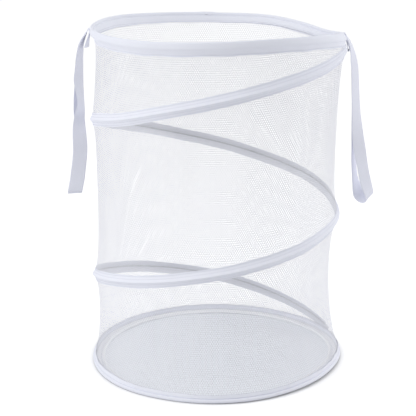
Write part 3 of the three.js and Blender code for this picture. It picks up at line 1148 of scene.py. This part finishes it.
@dataclass
class RimRing(Ring):
    """The rim: its hoop, the tape over it and that tape's stitches.

    Attributes:
        outer: the tape's outer flap, from its lower edge up, in millimetres from the hoop.
        inner: its inner flap, from the hoop down.
        outer_length: how long the outer flap is beside its usual length, by azimuth.
        inner_length: how long the inner one is.
        roll: the radius at which the tape goes over the hoop, in millimetres.
        roll_angles: the angles at which it has points there.
        sleeve_azimuth: where the hoop's sleeve is.
        sleeve_reach: how far to each side the tape swells over it, in degrees.
        sleeve_swell: how much it swells.
        flap_height: how far down the flaps wave in full.
        flap_waves: their waves in and out, in millimetres.
        edge_waves: their waves up and down, in millimetres.
        flat: the tape's width and length before it was folded.
    """

    outer: tuple[tuple[float, float], ...] = (
        (-4.3, -21.4), (-4.5, -20.2), (-4.9, -19.0), (-3.9, -17.2), (-2.4, -14.6), (-1.1, -12.2),
        (0.2, -10.7), (2.2, -9.4), (3.1, -7.2), (3.1, -4.6), (2.7, -2.0))
    inner: tuple[tuple[float, float], ...] = (
        (-2.5, -1.6), (-1.7, -3.0), (-2.2, -4.2), (-3.6, -5.2), (-4.2, -7.4), (-4.9, -10.0),
        (-5.5, -12.4), (-5.5, -13.4), (-6.1, -14.6), (-6.3, -15.6))
    outer_length: SmoothTable = SmoothTable(
        (30, 70, 110, 150, 200, 270, 340), (0.86, 0.76, 0.78, 0.88, 1, 1, 0.98), 360)
    inner_length: SmoothTable = SmoothTable(
        (30, 60, 90, 115, 140, 180, 270), (0.84, 0.88, 0.94, 1.06, 1.08, 1, 1), 360)
    roll: float = 2.6
    roll_angles: tuple[float, ...] = (2, 26, 50, 75, 105, 130, 154, 178)
    sleeve_azimuth: float = 95.0
    sleeve_reach: float = 4.2
    sleeve_swell: float = 0.4
    flap_height: float = 0.021
    flap_waves: Waves = ((0.5, 13, 0), (0.4, 29, 1))
    edge_waves: Waves = ((0.4, 19, 2),)
    flat: tuple[float, float] = (0.050, 1.38)

    def section(self, azimuth: Array) -> Array:
        """Returns the folded tape's section, from the outer edge over the hoop to the inner.

        Args:
            azimuth: the azimuths at which to give it.

        Returns:
            How far out and up from the hoop it lies, azimuths by points by two.
        """
        angles = np.radians(self.roll_angles)
        over = np.stack([np.cos(angles), np.sin(angles)], axis=-1) * self.roll
        profile = np.concatenate([np.array(self.outer), over, np.array(self.inner)]) * MM
        section = np.repeat(profile[None], len(azimuth), axis=0)
        first, last = len(self.outer), -len(self.inner)
        swell = np.exp(-(((azimuth - self.sleeve_azimuth) / self.sleeve_reach) ** 4))
        section[:, first:last] *= (1 + self.sleeve_swell * swell)[:, None, None]
        out, up = section[..., 0], section[..., 1]
        up[:, :first] *= self.outer_length(azimuth)[:, None]
        up[:, last:] *= self.inner_length(azimuth)[:, None]
        hang = np.clip(-up / self.flap_height, 0, 1) ** 1.5
        flare = self.drum.flare(azimuth)[:, None] * MM
        out += flare * np.clip(-up / self.drum.band_drop, 0, 1)
        out += ripple(azimuth, self.flap_waves)[:, None] * hang * MM
        up += ripple(azimuth, self.edge_waves)[:, None] * hang * MM
        return section

    def build(self) -> None:
        """Makes and dresses the rim's pieces."""
        radius, level = self.drum.hoop()
        azimuth = steps_round(self.columns)
        lift = self.drum.lift(azimuth)
        section = self.section(azimuth)
        tape = self.folded_tape("rim_tape", radius, level + lift, section, radius)
        dress(tape, TAPE.look(), Body.RIM, ["rim_binding"])
        wire = self.wire_ring("rim_wire_ring", radius, level + lift)
        dress(wire, STEEL.look(), Body.RIM, ["rim_hoop"])
        sleeve = Sleeve().build("rim_wire_sleeve", "rim_hoop_sleeve")
        self.raise_points(sleeve, lift)
        dress(sleeve, STEEL.look(), Body.RIM, ["rim_hoop_sleeve"])
        seam = self.seam("rim_stitches", radius, level + lift, section, {2: 1.0, -3: -1.0})
        dress(seam, SEAM_THREAD_AND_SHADE.look(), Body.RIM)


@dataclass
class BaseRing(Ring):
    """The base: its hoop, its tape, the floor cloth and the raised seam round it.

    Attributes:
        section: the folded tape's section, from the outer edge down and up inside, in
            millimetres from the hoop.
        edge_height: how far up the tape's edges wave in full.
        edge_waves: their waves in and out, in millimetres.
        flat: the tape's width and length before it was folded.
        seam_section: the raised seam's section, from its inner side out, in millimetres.
        seam_waves: its waves in and out, in millimetres.
        seam_line: the point of its section along which it is sewn.
        seam_inset: how far inside its outer edge its length is counted.
        seam_stand: how far it sinks into the floor, and its thread stands off it.
        seam_flat: its width and length before it was folded.
        floor_slack: how deep the floor cloth's slack is.
        floor_waves: its waves, each a depth, two turns per metre in radians and a start.
        floor_grid: how many steps go round it, and how many rings it has.
        floor_middle: the share of its radius at which its innermost ring is.
        slack_end: the shares of its radius between which its slack ends.
        pucker_count: how many puckers go round it.
        pucker_reach: the shares of its radius between which they start.
        floor_thickness: how thick the floor cloth is.
        floor_gap: how far its top is under the CAD panel's.
    """

    section: tuple[tuple[float, float], ...] = (
        (-2.2, 9.8), (-1.6, 8.4), (-1.2, 7.0), (-0.6, 5.6), (-0.5, 4.4), (-2.2, 3.2), (-0.2, 2.5),
        (1.5, 1.9), (2.4, 0.8), (2.5, -0.6), (2.1, -2.0), (1.2, -3.1), (0.0, -3.6), (-1.4, -3.3),
        (-2.5, -2.3), (-3.1, -0.8), (-3.4, 1.4), (-3.5, 3.8), (-3.7, 6.0), (-3.8, 7.4),
        (-4.0, 8.4), (-4.2, 9.4))
    edge_height: float = 0.0096
    edge_waves: Waves = ((0.5, 11, 0.6), (0.35, 31, 0))
    flat: tuple[float, float] = (0.034, 1.43)
    seam_section: tuple[tuple[float, float], ...] = (
        (-14.2, 0.8), (-14.1, 3.0), (-13.2, 4.6), (-11.8, 5.3), (-10.2, 5.2), (-9.0, 4.2),
        (-8.3, 2.3), (-7.2, 1.7), (-5.6, 2.3), (-3.4, 2.4), (-1.2, 2.4), (0.4, 3.4))
    seam_waves: Waves = ((0.3, 17, 0), (0.25, 43, 0))
    seam_line: int = 7
    seam_inset: float = 0.007
    seam_stand: float = 0.0003
    seam_flat: tuple[float, float] = (0.022, 1.36)
    floor_slack: float = 0.0011
    floor_waves: tuple[tuple[float, float, float, float], ...] = (
        (1.0, 31, 17, 1), (0.6, 13, -41, 0), (0.4, 67, 29, 2))
    floor_grid: tuple[int, int] = (180, 44)
    floor_middle: float = 0.02
    slack_end: tuple[float, float] = (0.86, 0.98)
    pucker_count: int = 37
    pucker_reach: tuple[float, float] = (0.7, 0.9)
    floor_thickness: float = 0.0006
    floor_gap: float = 0.0002

    def build(self) -> None:
        """Makes and dresses the base's pieces."""
        radius, level = hoop_place("base_hoop")
        heights = np.full(self.columns, level)
        section = np.repeat(np.array(self.section)[None] * MM, self.columns, axis=0)
        rise = np.clip(section[..., 1] / self.edge_height, 0, 1)
        wave = ripple(steps_round(self.columns), self.edge_waves)
        section[..., 0] += wave[:, None] * rise * MM
        tape = self.folded_tape("base_tape", radius, heights, section, radius)
        self.place(tape, TAPE, Slot.TAPE, ["base_binding"])
        wire = self.wire_ring("base_wire_ring", radius, heights)
        self.place(wire, STEEL, Slot.WIRE, ["base_hoop"])
        sleeve = Sleeve().build("base_wire_sleeve", "base_hoop_sleeve")
        self.place(sleeve, STEEL, Slot.WIRE, ["base_hoop_sleeve"])
        seam = self.seam("base_stitches", radius, heights, section, {5: 1.0, 19: -1.0})
        self.place(seam, SEAM_THREAD_AND_SHADE, Slot.TAPE)
        self.build_floor()
        self.build_seam()

    def build_floor(self) -> None:
        """Makes the floor cloth, laid slack inside the base ring."""
        _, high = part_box("floor_panel")
        radius = high.x
        columns, rings = self.floor_grid
        angle = np.radians(steps_round(columns))[:, None]
        shares = np.linspace(self.floor_middle, 1, rings)
        x, y = shares * radius * np.cos(angle), shares * radius * np.sin(angle)
        slack = 1 - smooth_step(*self.slack_end, shares)
        wave = sum(depth * np.sin(x * along + y * across + start)
                   for depth, along, across, start in self.floor_waves)
        pucker = 0.5 * np.sin(angle * self.pucker_count) * smooth_step(*self.pucker_reach, shares)
        height = (high.z - self.floor_gap
                  + self.floor_slack * slack * (0.75 + 0.25 * wave + pucker * 0.3))
        points = np.stack([x, y, height], axis=-1).reshape(-1, 3)
        low, left = np.meshgrid(np.arange(columns), np.arange(rings - 1), indexing="ij")
        low, left = low.ravel(), left.ravel()
        nxt = (low + 1) % columns
        faces = np.stack([low * rings + left, low * rings + left + 1, nxt * rings + left + 1,
                          nxt * rings + left], axis=-1).tolist()
        faces.append([step * rings for step in range(columns)][::-1])
        corners = [corner for face in faces for corner in face]
        cloth = new_piece("floor_sheet", points, faces, points[corners, :2])
        face_outwards(cloth)
        if sum(face.normal.z for face in cloth.data.polygons) < 0:
            cloth.data.flip_normals()
        thicken(cloth, self.floor_thickness, -1.0)
        self.reshape(cloth)
        smooth(cloth)
        dress(cloth, FLOOR_CLOTH.look(), Body.BASE, ["floor_panel"])

    def build_seam(self) -> None:
        """Makes the raised seam that shows inside the base ring."""
        low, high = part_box("floor_seam_tape")
        section = np.repeat(np.array(self.seam_section)[None] * MM, self.columns, axis=0)
        section[..., 0] += ripple(steps_round(self.columns), self.seam_waves)[:, None] * MM
        seam = self.folded_tape("floor_seam", high.y,
                                np.full(self.columns, low.z - self.seam_stand), section,
                                high.y - self.seam_inset)
        self.place(seam, SEAM_TAPE, Slot.TAPE, ["floor_seam_tape"])
        sewn = section[np.append(np.arange(self.columns), 0), self.seam_line]
        line = polar(high.y + sewn[:, 0], steps_round(self.columns, True),
                     low.z + sewn[:, 1] + self.seam_stand)
        upward = np.tile(np.array([0.0, 0.0, 1.0]), (len(line), 1))
        self.place(Stitches().row("floor_seam_stitches", [(line, upward)]), SEAM_THREAD_AND_SHADE, Slot.TAPE)

    def reshape(self, piece: Piece) -> None:
        """Moves a piece's points with the warped base ring.

        Args:
            piece: the piece.
        """
        flat = np.empty(len(piece.data.vertices) * 3)
        piece.data.vertices.foreach_get("co", flat)
        piece.data.vertices.foreach_set("co", self.drum.shape_base(flat.reshape(-1, 3)).ravel())
        piece.data.update()

    def place(self, piece: Piece, finish: Finish, slot: Slot, nodes: Sequence[str] = ()) -> None:
        """Moves a piece with the base ring and dresses it.

        Args:
            piece: the piece.
            finish: its finish.
            slot: not used.
            nodes: the CAD nodes it replaces.
        """
        self.reshape(piece)
        dress(piece, finish.look(), Body.BASE, nodes)


@dataclass
class NetWall:
    """The net, sewn into a drum.

    Attributes:
        drum: where the drum stands.
        columns: how many steps go round.
        rows: how many go up.
        thickness: how thick the knitted net is.
        foot_hem: how far down it goes inside the base tape.
        top_hem: how far up it goes inside the rim band.
        mean_radius: the radius at which its length is counted.
        flat: its height and length before it was sewn round.
    """

    drum: Drum
    columns: int = 360
    rows: int = 150
    thickness: float = 0.0003
    foot_hem: float = 0.005
    top_hem: float = 0.0175
    mean_radius: float = 0.2165
    flat: tuple[float, float] = (0.60, 1.41)

    def build(self) -> None:
        """Makes and dresses the net."""
        azimuth = steps_round(self.columns)[:, None]
        top = self.drum.band_edge(azimuth) + self.top_hem
        foot = self.drum.foot_height - self.foot_hem
        shares = np.linspace(0, 1, self.rows)
        height = foot + (top - foot) * shares
        radius = self.drum.net_radius(azimuth, height)
        points = self.drum.shape_base(polar(radius, azimuth, height))
        along = np.radians(steps_round(self.columns, True)) * self.mean_radius
        net = cloth_grid("net_wall", points, True, along, shares * self.flat[0])
        thicken(net, self.thickness)
        smooth(net, 80)
        dress(net, NET_FINISH.look(), Body.BASE, ["mesh_wall"])
        flatten(net)


@dataclass
class SpiralSpring:
    """The spiral wire in its tape, which climbs the drum for two turns.

    Attributes:
        drum: where the drum stands.
        step: how many degrees apart the sections are.
        across: where the tape's points lie across it, in millimetres from the wire.
        stand: how far each of them stands off the net, in millimetres.
        tape_thickness: how thick the tape is.
        edge_wave: how much its edges wander up and down, in millimetres.
        wander: the waves of that.
        top_room: how far over the rim band's lower edge the tape may go.
        foot_room: the height under which it doesn't go.
        foot_fade: the heights between which it comes off the net.
        seams: where its lines of stitches are to each side of the wire, and how far each
            stands off the net, in millimetres.
        flat: the tape's width and length.
        wire_stand: how far the wire stands off the net, in millimetres.
        wire_thickness: how thick the wire is.
        cap_radius: the radius of the caps on its ends.
        cap_length: how long they are.
        cap_edge: how wide their rounded edges are.
        cap_inset: how far the middle of each is from the wire's end.
    """

    drum: Drum
    step: float = 1.5
    across: tuple[float, ...] = (-11.4, -10.2, -9.0, -7.0, -5.0, -3.4, -2.2, -1.1, 0, 1.1, 2.2,
                                 3.4, 5.0, 7.0, 9.0, 10.2, 11.4)
    stand: tuple[float, ...] = (1.0, 0.8, 0.6, 0.9, 1.3, 1.9, 2.7, 3.4, 3.6, 3.4, 2.7, 1.9, 1.3,
                                0.9, 0.6, 0.8, 1.0)
    tape_thickness: float = 0.0006
    edge_wave: float = 0.3
    wander: Waves = ((1.0, 9, 0), (0.6, 23, 0))
    top_room: float = 0.0015
    foot_room: float = 0.0075
    foot_fade: tuple[float, float] = (0.008, 0.016)
    seams: tuple[tuple[float, float], ...] = ((9.0, 1.1), (4.6, 1.8))
    flat: tuple[float, float] = (0.026, 2.72)
    wire_stand: float = 1.7
    wire_thickness: float = 0.0026
    cap_radius: float = 0.0021
    cap_length: float = 0.012
    cap_edge: float = 0.0009
    cap_inset: float = 0.005

    def turns(self) -> Array:
        """Returns the angle of each section along the spiral."""
        count = int((self.drum.last_turn - self.drum.first_turn) / self.step) + 1
        return np.linspace(self.drum.first_turn, self.drum.last_turn, count)

    def rung(self, across: float, stand: float, edge_wave: float = 0.0) -> Array:
        """Returns one line along the tape.

        Args:
            across: how far from the wire it lies, in millimetres.
            stand: how far it stands off the net, in millimetres.
            edge_wave: how much it wanders up and down, in millimetres.

        Returns:
            The line's points.
        """
        turn = self.turns()
        height = self.drum.wire_height(turn)
        radius = self.drum.wire_net(turn) * MM
        slope = np.gradient(height, np.radians(turn)) / radius
        lean = np.hypot(1, slope)
        half = self.across[-1] * MM / lean
        room = (self.drum.band_edge(turn) + self.top_room - height if across > 0
                else height - self.foot_room)
        wander = edge_wave * ripple(turn, self.wander)
        offset = (across + wander) * MM / lean * np.clip(room / half, 0.02, 1)
        azimuth = turn - np.degrees(offset * slope / radius)
        height = height + offset
        stand = stand * smooth_step(*self.foot_fade, height)
        return self.drum.shape_base(
            polar(self.drum.net_radius(azimuth, height) + stand * MM, azimuth, height))

    def build(self) -> None:
        """Makes and dresses the spiral's pieces."""
        rungs = [self.rung(across, stand, self.edge_wave * (abs(across) == self.across[-1]))
                 for across, stand in zip(self.across, self.stand)]
        run = run_along(rungs[len(rungs) // 2])
        tape = cloth_grid("spiral_tape", np.stack(rungs, axis=1), False, run,
                          np.array(self.across) * MM)
        thicken(tape, self.tape_thickness)
        smooth(tape, 50)
        dress(tape, TAPE.look(), Body.BASE, ["spiral_casing"])
        flatten(tape)
        line = self.rung(0.0, self.wire_stand)[self.turns() <= self.drum.wire_turn]
        wire = self.wire("spiral_spring_wire", line)
        dress(wire, STEEL.look(), Body.BASE, ["spiral_wire"])
        flatten(wire)
        foot_cap = self.cap("spiral_foot_cap", line)
        dress(foot_cap, CAP.look(), Body.BASE, ["spiral_lower_cap"])
        flatten(foot_cap)
        top_cap = self.cap("spiral_top_cap", line[::-1])
        dress(top_cap, CAP.look(), Body.RIM, ["spiral_upper_cap"])
        outward = polar(1.0, self.turns(), 0.0)
        lines = [(self.rung(side * across, stand), outward)
                 for across, stand in self.seams for side in (-1, 1)]
        seam = Stitches().row("spiral_stitches", lines)
        dress(seam, SEAM_THREAD_AND_SHADE.look(), Body.BASE)
        flatten(seam)

    def wire(self, name: str, line: Array) -> Piece:
        """Makes the round wire along a line.

        Args:
            name: the piece's name.
            line: the points that it follows.

        Returns:
            The wire.
        """
        along = unit(np.gradient(line, axis=0))
        side = unit(np.cross(along, np.array([0.0, 0.0, 1.0])))
        angles = np.radians(steps_round(8))[None, :, None]
        piece = pipe(name, line[:, None] + self.wire_thickness / 2 * (
            np.cos(angles) * side[:, None] + np.sin(angles) * np.cross(side, along)[:, None]))
        smooth(piece)
        return piece

    def cap(self, name: str, line: Array) -> Piece:
        """Makes the rounded cap over a wire's end.

        Args:
            name: the piece's name.
            line: the wire's own line, from its end inwards.

        Returns:
            The cap.
        """
        end = Vector(line[0])
        along = (Vector(line[3]) - end).normalized()
        deselect()
        bpy.ops.mesh.primitive_cylinder_add(vertices=20, radius=self.cap_radius,
                                            depth=self.cap_length)
        piece = bpy.context.object
        piece.name = name
        apply_modifier(piece, "BEVEL", width=self.cap_edge, segments=3, limit_method="ANGLE")
        turn = Vector((0, 0, 1)).rotation_difference(along).to_matrix().to_4x4()
        piece.data.transform(Matrix.Translation(end + along * self.cap_inset) @ turn)
        smooth(piece, 30)
        return piece


@dataclass(frozen=True)
class Strand:
    """One side of a handle's loop, measured from the photograph, in millimetres.

    Attributes:
        heights: the heights of its stations, from the top down.
        middles: how far out its middle is at each.
        depths: how far back its middle is at each.
        turns: how far it has turned its face at each, in degrees.
        slants: how far its lower end slants at each, in degrees.
    """

    heights: tuple[float, ...]
    middles: tuple[float, ...]
    depths: tuple[float, ...]
    turns: tuple[float, ...]
    slants: tuple[float, ...]

    def stations(self, count: int) -> tuple[Array, Array]:
        """Returns the strand's middle points and the way across it at each.

        Args:
            count: how many stations to make.

        Returns:
            The points and the directions across, from the top down.
        """
        fall = tuple(-height for height in self.heights)
        where = np.linspace(fall[0], fall[-1], count)
        read = [SmoothTable(fall, values)(where)
                for values in (self.middles, self.depths, self.turns, self.slants)]
        points = np.stack([read[0], read[1], -where], axis=-1) * MM
        turn, slant = np.radians(read[2]), np.radians(read[3])
        across = np.stack([np.sin(turn) * np.cos(slant), np.cos(turn) * np.cos(slant),
                           np.sin(slant)], axis=-1)
        return points, across


@dataclass
class Handle:
    """A webbing handle: the loop that hangs outside the rim, and its tail.

    Attributes:
        side: "left" or "right".
        body: the CAD body that the loop rides on.
        front: the strand that the viewer sees in front.
        back: the strand behind it.
        tail: the tail's line, out and up, in millimetres.
        tail_turns: how far the tail has turned its face at its top and foot, in degrees.
        section: half of the webbing's section, in halves of its width and thickness.
        width: how wide the webbing is.
        thickness: how thick it is.
        fold_pull: how full the turn at the loop's foot is.
        strand_steps: how many stations each strand has.
        fold_steps: how many there are in the turn.
        tail_steps: how many the tail has.
        hinge_height: how high the loop's seam is.
        keep: the share of the loop's height that is left when the hamper is folded.
    """

    side: str
    body: Body
    front: Strand
    back: Strand
    tail: tuple[tuple[float, float], ...]
    tail_turns: tuple[float, float] = (7.0, 7.0)
    section: tuple[tuple[float, float], ...] = (
        (-1.0, 0.0), (-0.97, 0.75), (-0.85, 1.0), (-0.45, 1.0), (0.0, 1.0), (0.45, 1.0),
        (0.85, 1.0), (0.97, 0.75))
    width: float = 0.0254
    thickness: float = 0.0014
    fold_pull: float = 1.9
    strand_steps: int = 56
    fold_steps: int = 9
    tail_steps: int = 48
    hinge_height: float = 0.5963
    keep: float = 0.14

    def ribbon(self, name: str, points: Array, across: Array) -> Piece:
        """Makes a closed ribbon of webbing.

        Args:
            name: the piece's name.
            points: its middle line.
            across: the way across it at each point.

        Returns:
            The ribbon.
        """
        along = unit(np.gradient(points, axis=0))
        across = square_to(along, across)
        section = np.array(self.section + tuple((-x, -y) for x, y in self.section))
        half, thick = self.width / 2, self.thickness / 2
        rings = (points[:, None] + across[:, None] * section[None, :, :1] * half
                 + np.cross(along, across)[:, None] * section[None, :, 1:] * thick)
        piece = pipe(name, rings, run_along(points), section[:, 0] * half)
        smooth(piece, 50)
        return piece

    def fold(self, front: tuple[Array, Array],
             back: tuple[Array, Array]) -> tuple[Array, Array]:
        """Returns the turn at the foot of the loop, between its two strands.

        Args:
            front: the front strand's points and the way across at each, from the top down.
            back: those of the strand behind it.

        Returns:
            The points between them and the way across at each.
        """
        (start, end), (first, last) = ((a[-1], b[-1]) for a, b in zip(front, back))
        down, up = front[0][-1] - front[0][-2], back[0][-2] - back[0][-1]
        t = np.linspace(0, 1, self.fold_steps + 2)[1:-1, None]
        pull = np.linalg.norm(end - start) * self.fold_pull
        rise = t * t * (3 - 2 * t)
        points = (start * (1 - rise) + end * rise
                  + t * (1 - t) ** 2 * pull * (down / np.linalg.norm(down))
                  - t * t * (1 - t) * pull * (up / np.linalg.norm(up)))
        return points, first * (1 - t) + last * t

    def build(self) -> None:
        """Makes and dresses the loop and its tail."""
        front, back = (strand.stations(self.strand_steps) for strand in (self.front, self.back))
        points, across = (np.concatenate([down, turn, up[::-1]])
                          for down, turn, up in zip(front, self.fold(front, back), back))
        loop = self.ribbon(f"{self.side}_webbing_loop", points, across)
        dress(loop, WEBBING.look(), self.body, [f"{self.side}_handle"])
        flatten(loop)
        line = np.array([(out, 0.0, up) for out, up in self.tail]) * MM
        run = run_along(line)
        where = np.linspace(0, run[-1], self.tail_steps)
        line = np.stack([SmoothTable(tuple(run), tuple(line[:, i]))(where) for i in range(3)],
                        axis=-1)
        top, foot = line[:, 2].max(), line[:, 2].min()
        twist = np.radians(np.interp(line[:, 2], (foot, top), self.tail_turns[::-1]))
        across = np.stack([np.sin(twist), np.cos(twist), np.zeros(len(line))], axis=-1)
        tail = self.ribbon(f"{self.side}_webbing_tail", line, across)
        dress(tail, WEBBING.look(), Body.RIM, [f"{self.side}_handle_tail"])


RIGHT_FRONT = Strand(
    (597, 588, 581, 574, 567, 560, 553, 539, 521, 496, 484, 457, 425, 409, 388, 363, 351, 337, 324,
     315, 309),
    (222.8, 227.6, 231.9, 234.4, 236.4, 238.2, 239.2, 241.5, 242.9, 244.2, 245.0, 246.8, 250.0,
     252.0, 255.6, 260.6, 262.8, 266.0, 269.8, 272.8, 274.6),
    (0, 0, -0.3, -0.5, -0.7, -0.9, -1, -1.2, -1.5, -2, -2, -2, -3, -3.5, -4, -5, -5, -5.5, -6,
     -6, -6),
    (2, 8, 13, 16, 20, 25, 30, 34, 37, 38, 39, 43, 56, 61, 64, 56, 56, 56, 50, 44, 40),
    (0,) * 15 + (3, 6, 12, 20, 27, 31))
RIGHT_BACK = Strand(
    (597, 588, 581, 574, 567, 560, 553, 539, 521, 496, 484, 457, 425, 397, 370, 351, 337, 324,
     314, 307),
    (221.2, 225.4, 229.6, 232.2, 234.2, 236.0, 237.2, 239.4, 241.0, 242.6, 243.4, 244.0, 244.6,
     245.6, 246.2, 247.6, 249.2, 251.8, 255.0, 258.0),
    (0, 0, 0.6, 1.2, 1.8, 2.2, 2.6, 3, 3.5, 4, 4, 4, 4, 4.5, 5, 5.5, 6, 6.5, 7, 7),
    (0, 4, 7, 9, 11, 13, 15, 19, 22, 24, 25, 26, 26, 26, 26, 26, 28, 36, 50, 62),
    (0,) * 16 + (4, 12, 22, 30))
LEFT_BACK = Strand(
    (597, 595, 588, 581, 574, 567, 557, 539, 514, 496, 478, 461, 446, 430, 417, 388, 361, 345,
     335, 325, 319),
    (-228.9, -230.0, -233.6, -236.4, -238.8, -239.6, -240.6, -241.6, -243.0, -244.2, -245.4,
     -246.0, -245.4, -244.6, -244.4, -243.9, -246.7, -249.1, -250.5, -252.5, -253.8),
    (0.6, 0.8, 1.6, 2.4, 3, 3.6, 4.4, 5.4, 6, 6, 6, 6, 6.5, 6.5, 6.5, 6.5, 6.5, 6.5, 6.5, 6, 5),
    (0, 2, 8, 12, 15, 17, 19, 22, 30, 34, 35, 34.5, 37, 50, 58, 67, 72, 75, 77, 76, 75),
    (0,) * 21)
LEFT_FRONT = Strand(
    (597, 595, 588, 581, 574, 567, 557, 539, 514, 496, 478, 461, 446, 430, 417, 388, 361, 345,
     335, 325, 319),
    (-227.5, -228.6, -232.2, -235.2, -237.6, -238.6, -240.1, -241.3, -243.3, -241.6, -240.2,
     -241.4, -243.6, -244.2, -244.2, -244.0, -246.8, -249.2, -250.6, -252.6, -253.8),
    (-0.3, -0.4, -0.8, -1.2, -1.6, -2, -2.4, -3, -3, -3, -3, -3, -4, -5, -6, -6.5, -7.5, -8.5,
     -9.5, -11.5, -13),
    (0, 2, 8, 12, 15, 20, 23, 28, 33, 28, 22, 33, 44, 58, 64, 70, 75, 78, 79, 77, 75),
    (0,) * 21)
LEFT_TAIL = ((-228.3, 596.6), (-227.0, 599.4), (-225.0, 602.4), (-223.2, 604.0), (-222.0, 602.6),
             (-221.9, 599.0), (-222.6, 594.0), (-224.4, 587.0), (-226.4, 579.0), (-227.5, 572.2))
RIGHT_TAIL = ((223.8, 591), (225.0, 587), (227.4, 580), (228.3, 574), (228.4, 569.4),
              (229.1, 567.3), (230.2, 566.8), (231.2, 567.6), (231.4, 570), (230.9, 574),
              (229.5, 580), (226.6, 587), (225.4, 590.5))


def stand(name: str, data: bpy.types.ID, place: Sequence[float], turn: Sequence[float]) -> Piece:
    """Puts a lamp or camera in the scene.

    Args:
        name: its name.
        data: the lamp or camera.
        place: where it stands.
        turn: how it is turned, in radians.

    Returns:
        Its object.
    """
    stood = bpy.data.objects.new(name, data)
    stood.location, stood.rotation_euler = place, turn
    bpy.context.scene.collection.objects.link(stood)
    return stood


@dataclass(frozen=True)
class Lamp:
    """A soft square lamp that faces the hamper.

    Attributes:
        name: its name.
        place: where it stands.
        size: how wide it is.
        power: its power, in watts.
    """

    name: str
    place: tuple[float, float, float]
    size: float
    power: float

    def build(self) -> None:
        """Adds the lamp."""
        data = bpy.data.lights.new(self.name, "AREA")
        data.shape, data.size, data.energy = "SQUARE", self.size, self.power
        aim = Vector((0, 0, 0.3)) - Vector(self.place)
        stand(self.name, data, self.place, aim.to_track_quat("-Z", "Y").to_euler())


@dataclass
class Studio:
    """The floor, the lamps, the surroundings and the camera.

    Attributes:
        camera_place: where the camera stands.
        camera_pitch: how far it looks down.
        lens: its focal length on a 36 mm frame, in millimetres.
        ambient: the strength of the light from all round.
        lamps: the lamps on the left, on the right and overhead.
        shade_reach: how near the hamper has to be to darken the floor's glow under it, as a painted
            contact shadow.
        shade_depth: how strongly it does.
        glow: how brightly the floor shows apart from the light on it.
    """

    camera_place: tuple[float, float, float] = (-0.0156, -2.11, 0.867)
    camera_pitch: float = 15.53
    lens: float = 104.6
    ambient: float = 0.61
    lamps: tuple[Lamp, ...] = (Lamp("key_lamp", (-2.3, -1.0, 0.8), 1.4, 18.0),
                               Lamp("fill_lamp", (2.1, 0.3, 0.5), 1.0, 11.5),
                               Lamp("top_lamp", (0.0, -0.5, 2.4), 1.6, 9.0))
    shade_reach: float = 0.03
    shade_depth: float = 2.2
    glow: float = 0.52

    def build_camera(self) -> None:
        """Sets the camera where the photograph was taken from."""
        data = bpy.data.cameras.new("photo_camera")
        data.lens, data.sensor_width = self.lens, 36.0
        bpy.context.scene.camera = stand("photo_camera", data, self.camera_place,
                                         (math.radians(90 - self.camera_pitch), 0, 0))

    def show(self, write: NodeWriter, plain: Node, shown: Node, output: str) -> None:
        """Writes one shader for the light on the hamper and one for a ray that sees it.

        Args:
            write: the writer of the material or the world.
            plain: the shader that the hamper is lit by.
            shown: the shader that the background shows.
            output: the type of the output node.
        """
        path = write.add("ShaderNodeLightPath")
        seen = write.math("MAXIMUM", path.outputs["Is Camera Ray"], path.outputs["Is Glossy Ray"])
        seen = write.math("MAXIMUM", seen, path.outputs["Is Transmission Ray"])
        mixed = write.add("ShaderNodeMixShader", {0: seen, 1: plain.outputs[0],
                                                  2: shown.outputs[0]})
        write.add(output, {0: mixed.outputs[0]})

    def build_surroundings(self) -> None:
        """Makes the white background and the pale light from all round."""
        world = bpy.data.worlds.new("studio")
        write = fresh_nodes(world)
        soft = write.add("ShaderNodeBackground", {"Color": (0.97, 0.98, 1.0, 1),
                                                  "Strength": self.ambient})
        white = write.add("ShaderNodeBackground", {"Color": (1, 1, 1, 1), "Strength": 1.0})
        self.show(write, soft, white, "ShaderNodeOutputWorld")
        bpy.context.scene.world = world

    def build_floor(self) -> None:
        """Makes the floor, whose glow is darkened by occlusion where the hamper stands on it: a
        painted contact shadow.
        """
        deselect()
        bpy.ops.mesh.primitive_plane_add(size=16, location=(0, 0, -0.0006))
        floor = bpy.context.object
        floor.name = "studio_floor"
        look = bpy.data.materials.new("studio floor")
        write = fresh_nodes(look)
        plain = write.add("ShaderNodeBsdfDiffuse", {"Color": (0.8, 0.8, 0.81, 1)})
        near = write.add("ShaderNodeAmbientOcclusion", {"Distance": self.shade_reach})
        # Painted contact shadow: the floor's glow is darkened by ambient occlusion near the hamper.
        painted_contact_shadow = write.math("POWER", near.outputs["AO"], self.shade_depth)
        faint = write.add("ShaderNodeBsdfDiffuse", {"Color": (0.85, 0.85, 0.85, 1)})
        light = write.add("ShaderNodeEmission", {
            "Color": (1, 1, 1, 1), "Strength": write.math("MULTIPLY", painted_contact_shadow, self.glow)})
        shown = write.add("ShaderNodeAddShader", {0: faint.outputs[0], 1: light.outputs[0]})
        self.show(write, plain, shown, "ShaderNodeOutputMaterial")
        floor.data.materials.append(look)

    def build(self) -> None:
        """Makes the studio."""
        self.build_camera()
        self.build_surroundings()
        self.build_floor()
        for lamp in self.lamps:
            lamp.build()


def main() -> None:
    """Builds the hamper's looks, sub-assembly by sub-assembly."""
    logging.basicConfig(level=logging.INFO, format="%(name)s: %(message)s")
    bpy.context.scene.view_settings.view_transform = "Standard"
    drum = Drum()
    Studio().build()
    RimRing(drum).build()
    BaseRing(drum).build()
    NetWall(drum).build()
    SpiralSpring(drum).build()
    Handle("left", Body.LEFT_LOOP, LEFT_FRONT, LEFT_BACK, LEFT_TAIL,
           tail_turns=(-5.0, 14.0)).build()
    Handle("right", Body.RIGHT_LOOP, RIGHT_FRONT, RIGHT_BACK, RIGHT_TAIL).build()


if __name__ == "__main__":
    main()
